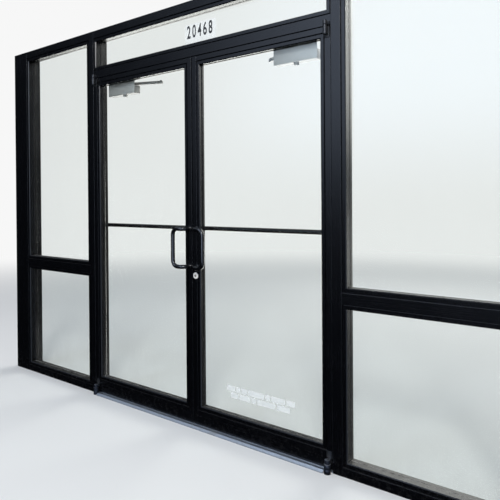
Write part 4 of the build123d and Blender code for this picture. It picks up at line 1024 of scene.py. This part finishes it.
# Stage: a wide floor of pale grey, which fades to the tone of the surround a few metres off.
# Gloss looks through the floor, to the studio around it.
FLOOR_REACH = 60.0
FADE_START, FADE_END = 4.0, 11.0
FLOOR_GREY = (0.78, 0.78, 0.775, 1)
PALE = (0.93, 0.93, 0.93, 1)


def light_path(wire, *kinds):
    """One for rays of these kinds, and zero for the rest."""
    found = wire.node("ShaderNodeLightPath", out=kinds[0])
    for kind in kinds[1:]:
        found = wire.math("MAXIMUM", found, wire.node("ShaderNodeLightPath", out=kind))
    return found


def pale_floor(name):
    made, wire = start_finish(name)
    distance = wire.node("ShaderNodeVectorMath", {"operation": "LENGTH"}, {0: place_on(wire)}, out="Value")
    seen_straight = light_path(wire, "Is Camera Ray", "Is Transmission Ray")
    faded = between(wire, distance, FADE_START, FADE_END) * seen_straight
    near = wire.node("ShaderNodeBsdfDiffuse", {}, {"Color": FLOOR_GREY})
    far = wire.node("ShaderNodeEmission", {}, {"Color": PALE, "Strength": 1.0})
    seen = wire.node("ShaderNodeMixShader", {}, {0: faded, 1: near, 2: far})
    finish_off(wire, wire.node("ShaderNodeMixShader", {}, {
        0: light_path(wire, "Is Glossy Ray"), 1: seen, 2: wire.node("ShaderNodeBsdfTransparent")}))
    return made


floor_mesh = bpy.data.meshes.new("floor")
floor_mesh.from_pydata([(-FLOOR_REACH, -FLOOR_REACH, 0), (FLOOR_REACH, -FLOOR_REACH, 0),
                        (FLOOR_REACH, FLOOR_REACH, 0), (-FLOOR_REACH, FLOOR_REACH, 0)], [], [(0, 1, 2, 3)])
floor_mesh.materials.append(pale_floor("pale_floor"))
floor = bpy.data.objects.new("floor", floor_mesh)
bpy.context.scene.collection.objects.link(floor)

# Surround: pale to the eye and through the glass. Gloss sees a dark studio with sky above and in front,
# a white wall behind the door on the right, light from below behind it on the left, and two bright
# upright strips: a wide one at the front right and a thin one straight in front.
world = bpy.data.worlds.new("studio")
bpy.context.scene.world = world
world.use_nodes = True
world.node_tree.nodes.clear()
air = Wire(world.node_tree)
look = air.node("ShaderNodeTexCoord", out="Generated")
east, north, above = [part_of(air, look, letter) for letter in "XYZ"]
DARK = 0.010
HIGH_SKY = 0.7
FRONT_SKY = 2.4
WALL_LOW, WALL_BAND, WALL_HIGH = 0.25, 1.6, 3.8
UNDER_LIGHT = 4.5
STRIP, THIN_STRIP = 0.8, 7.0
STRIP_HEADING, THIN_STRIP_HEADING = (0.74, -0.67, 0.0), (0.138, -0.990, 0.0)
STRIP_EDGE, THIN_STRIP_EDGE = (0.72, 0.90), (0.980, 0.996)
SIDE_EDGE, TINT_EDGE = (-0.1, 0.1), (-0.4, 0.3)
SKY_FOOT, FRONT_FOOT, FRONT_SPREAD = (0.25, 0.7), (-0.03, 0.22), (0.66, 0.89)
BAND_FOOT, BAND_HEAD, WALL_FOOT, WALL_SPREAD = (-0.24, -0.12), (0.0, -0.06), (0.03, 0.22), (0.62, 0.72)
UNDER_HEAD, UNDER_SPREAD = (0.1, 0.0), (0.46, 0.60)
SHADE_BLUE, FRONT_BLUE, BACK_WHITE = (0.86, 0.92, 1.0, 1), (0.66, 0.78, 1.0, 1), (1.0, 0.98, 0.95, 1)


def heading(direction):
    """How nearly a ray runs in a direction: one along it, zero square to it."""
    return air.node("ShaderNodeVectorMath", {"operation": "DOT_PRODUCT"}, {0: look, 1: direction},
                    out="Value")


right_side = between(air, east, *SIDE_EDGE)
high_sky = between(air, above, *SKY_FOOT) * HIGH_SKY
front_sky = between(air, above, *FRONT_FOOT) * between(air, 0.0 - north, *FRONT_SPREAD) * FRONT_SKY
wall_band = between(air, above, *BAND_FOOT) * between(air, above, *BAND_HEAD) * WALL_BAND
wall_high = between(air, above, *WALL_FOOT) * WALL_HIGH
right_wall = between(air, north, *WALL_SPREAD) * (WALL_LOW + wall_band + wall_high)
under_light = between(air, north, *UNDER_SPREAD) * between(air, above, *UNDER_HEAD) * UNDER_LIGHT
back_wall = right_side * right_wall + (1.0 - right_side) * under_light
strip = between(air, heading(STRIP_HEADING), *STRIP_EDGE) * STRIP
thin_strip = between(air, heading(THIN_STRIP_HEADING), *THIN_STRIP_EDGE) * THIN_STRIP
soft = air.node("ShaderNodeBackground", {}, {"Color": SHADE_BLUE, "Strength": 0.50})
studio = air.node("ShaderNodeBackground", {}, {
    "Color": blend_colours(air, between(air, north, *TINT_EDGE), FRONT_BLUE, BACK_WHITE),
    "Strength": DARK + high_sky + front_sky + back_wall + strip + thin_strip})
pale = air.node("ShaderNodeBackground", {}, {"Color": PALE, "Strength": 1.0})
lit = air.node("ShaderNodeMixShader", {}, {0: light_path(air, "Is Glossy Ray"), 1: soft, 2: studio})
air.node("ShaderNodeOutputWorld", {}, {"Surface": air.node("ShaderNodeMixShader", {}, {
    0: light_path(air, "Is Camera Ray", "Is Transmission Ray"), 1: lit, 2: pale})})


def soft_lamp(name, place, aim, size, power, colour):
    data = bpy.data.lights.new(name, "AREA")
    data.shape = "RECTANGLE"
    data.size, data.size_y = size
    data.energy = power
    data.color = colour
    lamp = bpy.data.objects.new(name, data)
    lamp.location = place
    lamp.rotation_euler = (Vector(aim) - Vector(place)).to_track_quat("-Z", "Y").to_euler()
    bpy.context.scene.collection.objects.link(lamp)
    return lamp


soft_lamp("key_lamp", (4.5, -6.0, 5.5), (0, 0, 1.2), (2.0, 2.0), 400, (1.0, 0.98, 0.95))
soft_lamp("sky_lamp", (-2.0, -6.0, 7.0), (0.5, 0, 1.8), (3.0, 2.0), 110, (0.72, 0.82, 1.0))
strip_lamp = soft_lamp("strip_lamp", (1.0, -6.0, 1.7), (0.5, 0, 1.1), (0.7, 3.0), 79, (0.92, 0.96, 1.0))
strip_lamp.visible_glossy = False
soft_lamp("back_lamp", (0.0, 5.5, 4.5), (0, 0, 1.2), (4.0, 2.5), 180, (1.0, 0.97, 0.93))

# Camera: at the place and angle fitted to the photograph, level but for a trace of pitch and roll.
# Its axis met the photograph above its middle row, so the lens is shifted.
EYE = Vector((2.185, -2.282, 1.310))
YAW, PITCH, ROLL = math.radians(37.65), math.radians(-0.42), math.radians(-0.39)
FOCAL_PIXELS = 542.9
PICTURE_PIXELS = 500
SENSOR_WIDTH = 36.0
AXIS_ROW = 203.8
forward = Vector((-math.sin(YAW) * math.cos(PITCH), math.cos(YAW) * math.cos(PITCH), math.sin(PITCH)))
level_right = forward.cross(Vector((0, 0, 1))).normalized()
level_up = level_right.cross(forward)
right = level_right * math.cos(ROLL) + level_up * math.sin(ROLL)
up = level_up * math.cos(ROLL) - level_right * math.sin(ROLL)
camera_data = bpy.data.cameras.new("camera")
camera_data.sensor_width = SENSOR_WIDTH
camera_data.lens = SENSOR_WIDTH * FOCAL_PIXELS / PICTURE_PIXELS
camera_data.shift_y = (AXIS_ROW - PICTURE_PIXELS / 2) / PICTURE_PIXELS
camera = bpy.data.objects.new("camera", camera_data)
bpy.context.scene.collection.objects.link(camera)
camera.matrix_world = Matrix.Translation(EYE) @ Matrix((right, up, -forward)).transposed().to_4x4()
bpy.context.scene.camera = camera
bpy.context.scene.view_settings.view_transform = "Standard"
